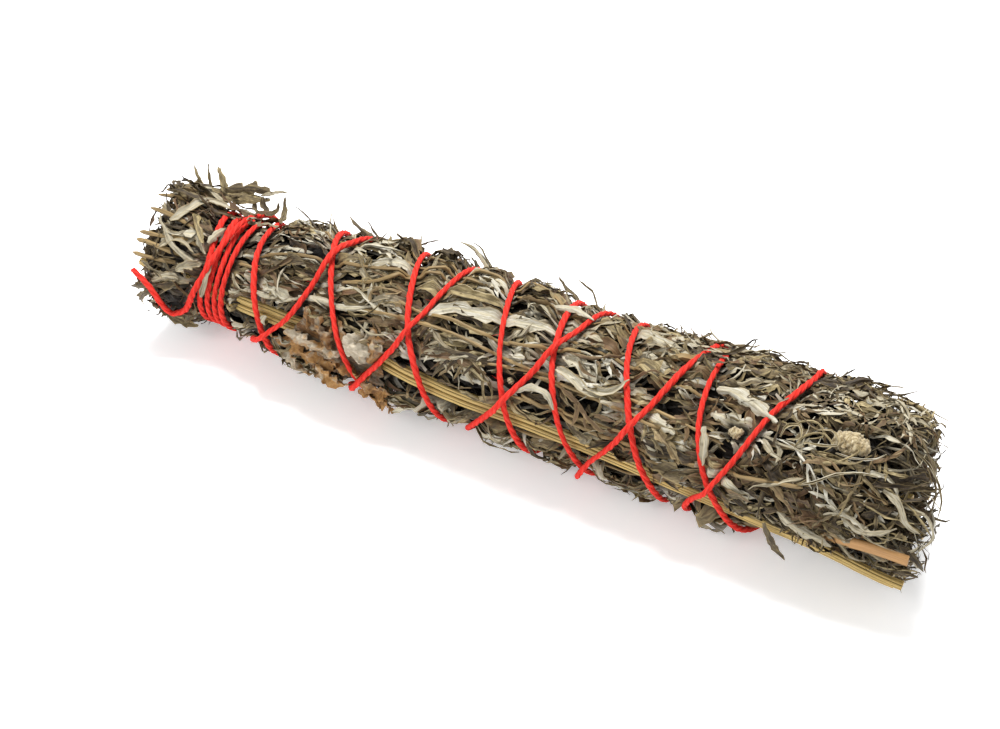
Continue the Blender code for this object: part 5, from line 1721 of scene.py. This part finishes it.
class SMUDGE_OT_stalks(bpy.types.Operator):
    """Makes the ribbed stalks, those inside and the bare ones along the lower front"""

    bl_idname = "smudge.stalks"
    bl_label = "Stalks"

    def execute(self, context):
        ribs = settings().stalks.ribs
        rng = np.random.default_rng(settings().leaves.seed + 200)
        straw = stalk_finish("dry_stalk", tint(54, 41, 19), tint(134, 109, 56), tint(210, 181, 112))
        dark = stalk_finish("dark_stalk", tint(48, 36, 22), tint(84, 64, 42), tint(124, 98, 66))
        orange = stalk_finish("orange_stalk", tint(88, 58, 30), tint(128, 90, 50), tint(178, 136, 84))
        for index, ends in enumerate(STALK_ENDS):
            pile = Pile()
            x = np.linspace(*ends, 12)
            path = round_bundle(x, SEAT_ANGLES[index], STALK_SEAT)
            add_stalk(pile, rng, path, STALK_RADIUS, ribs=9, groove=0.16, sides=27, step=4.0)
            finish, slot = (dark, "dark_stalk") if index in DARK_STALKS else (straw, "dry_stalk")
            pile.piece(f"inner_stalk_{index + 1}", [finish], slot, f"stalk_{index + 1}")
        for index in range(len(BARE_STALKS)):
            pile = Pile()
            add_stalk(pile, rng, bare_stalk_path(index), BARE_RADIUS, ribs, groove=0.2, sides=42, step=1.6)
            pile.piece(f"bare_stalk_{index + 1}", [straw], "dry_stalk", f"front_stalk_{index + 1}")
        pile = Pile()
        knots = np.array(FLAT_STALK, float)
        x = np.linspace(knots[0, 0], knots[-1, 0], 20)
        path = round_bundle(x, smooth(knots[:, 0], knots[:, 1], x), smooth(knots[:, 0], knots[:, 2], x))
        add_flat_stalk(pile, path)
        pile.piece("flat_stalk", [orange], "orange_stalk", "front_stalk_3")
        return {"FINISHED"}


class SMUDGE_OT_sprigs(bpy.types.Operator):
    """Covers the six outer sprigs and the middle one with leaves"""

    bl_idname = "smudge.sprigs"
    bl_label = "Leafy sprigs"

    def execute(self, context):
        surface = Surface(string_line())
        # The cores' near-black finish is painted shade for the inside of the bundle.
        core = painted_shade_core_finish()
        stem = stalk_finish("thin_stem", tint(50, 37, 22), tint(90, 72, 44), tint(150, 126, 82))
        leaves = {name: leaf_finish(name, shade) for name, shade in LEAF_SHADES.items()}
        *outer, middle = SPRIG_SLOTS
        for index, slot in enumerate(outer):
            pile = outer_sprig(surface, index, settings().leaves)
            name = f"sprig_leaves_{index + 1}"
            pile.piece(name, [leaves[slot], core, stem], slot, f"leafy_sprig_{index + 1}")
        pile = middle_sprig(surface, settings().leaves)
        pile.piece("middle_sprig_leaves", [leaves[middle], core], middle, "leafy_sprig_7")
        return {"FINISHED"}


class SMUDGE_OT_buds(bpy.types.Operator):
    """Makes the woolly flower buds"""

    bl_idname = "smudge.buds"
    bl_label = "Flower buds"

    def execute(self, context):
        rng = np.random.default_rng(settings().leaves.seed + 300)
        wool = bud_finish()
        for index in range(len(BUDS)):
            pile = Pile()
            for centre, radius, axis in bud_florets(rng, index):
                add_bud(pile, rng, centre, radius, axis)
            pile.piece(f"woolly_buds_{index + 1}", [wool], "bud_wool", f"bud_cluster_{index + 1}")
        return {"FINISHED"}


class SMUDGE_OT_brown_leaf(bpy.types.Operator):
    """Makes the crumpled brown leaf over the bare stalks"""

    bl_idname = "smudge.brown_leaf"
    bl_label = "Brown leaf"

    def execute(self, context):
        rng = np.random.default_rng(settings().leaves.seed + 400)
        pile = Pile()
        surface = Surface(string_line())
        add_sheet(pile, brown_leaf_grid(surface, rng), 0.16, tone=0.12, warm=0.5)
        for flap in BROWN_FLAPS:
            add_flap(pile, surface, rng, *flap)
        pile.piece("papery_leaf", [brown_finish()], "brown_leaf", "brown_leaf")
        return {"FINISHED"}


class SMUDGE_PT_panel(bpy.types.Panel):
    """Lists the sizes and colours, and a button for each piece"""

    bl_label = "Smudge stick"
    bl_idname = "SMUDGE_PT_panel"
    bl_space_type = "VIEW_3D"
    bl_region_type = "UI"
    bl_category = "Smudge stick"

    def draw(self, context):
        stick = context.scene.smudge_stick
        for group in (stick.leaves, stick.string, stick.stalks, stick.stage):
            box = self.layout.box()
            for name in group.__annotations__:
                box.prop(group, name)
        for operator in OPERATORS:
            self.layout.operator(operator.bl_idname)


GROUPS = (LeafSettings, StringSettings, StalkSettings, StageSettings, SmudgeStickSettings)
OPERATORS = (
    SMUDGE_OT_stage, SMUDGE_OT_string, SMUDGE_OT_stalks, SMUDGE_OT_sprigs, SMUDGE_OT_buds,
    SMUDGE_OT_brown_leaf,
)


def register():
    for kind in (*GROUPS, *OPERATORS, SMUDGE_PT_panel):
        bpy.utils.register_class(kind)
    bpy.types.Scene.smudge_stick = PointerProperty(type=SmudgeStickSettings)


def unregister():
    del bpy.types.Scene.smudge_stick
    for kind in (SMUDGE_PT_panel, *reversed(OPERATORS), *reversed(GROUPS)):
        bpy.utils.unregister_class(kind)


def main():
    register()
    bpy.ops.smudge.stage()
    bpy.ops.smudge.string()
    bpy.ops.smudge.stalks()
    bpy.ops.smudge.sprigs()
    bpy.ops.smudge.buds()
    bpy.ops.smudge.brown_leaf()
    boxes = {"cad": CAD_BOX, "visual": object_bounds()}
    {name: [list(corner) for corner in box] for name, box in boxes.items()}


if __name__ == "__main__":
    main()
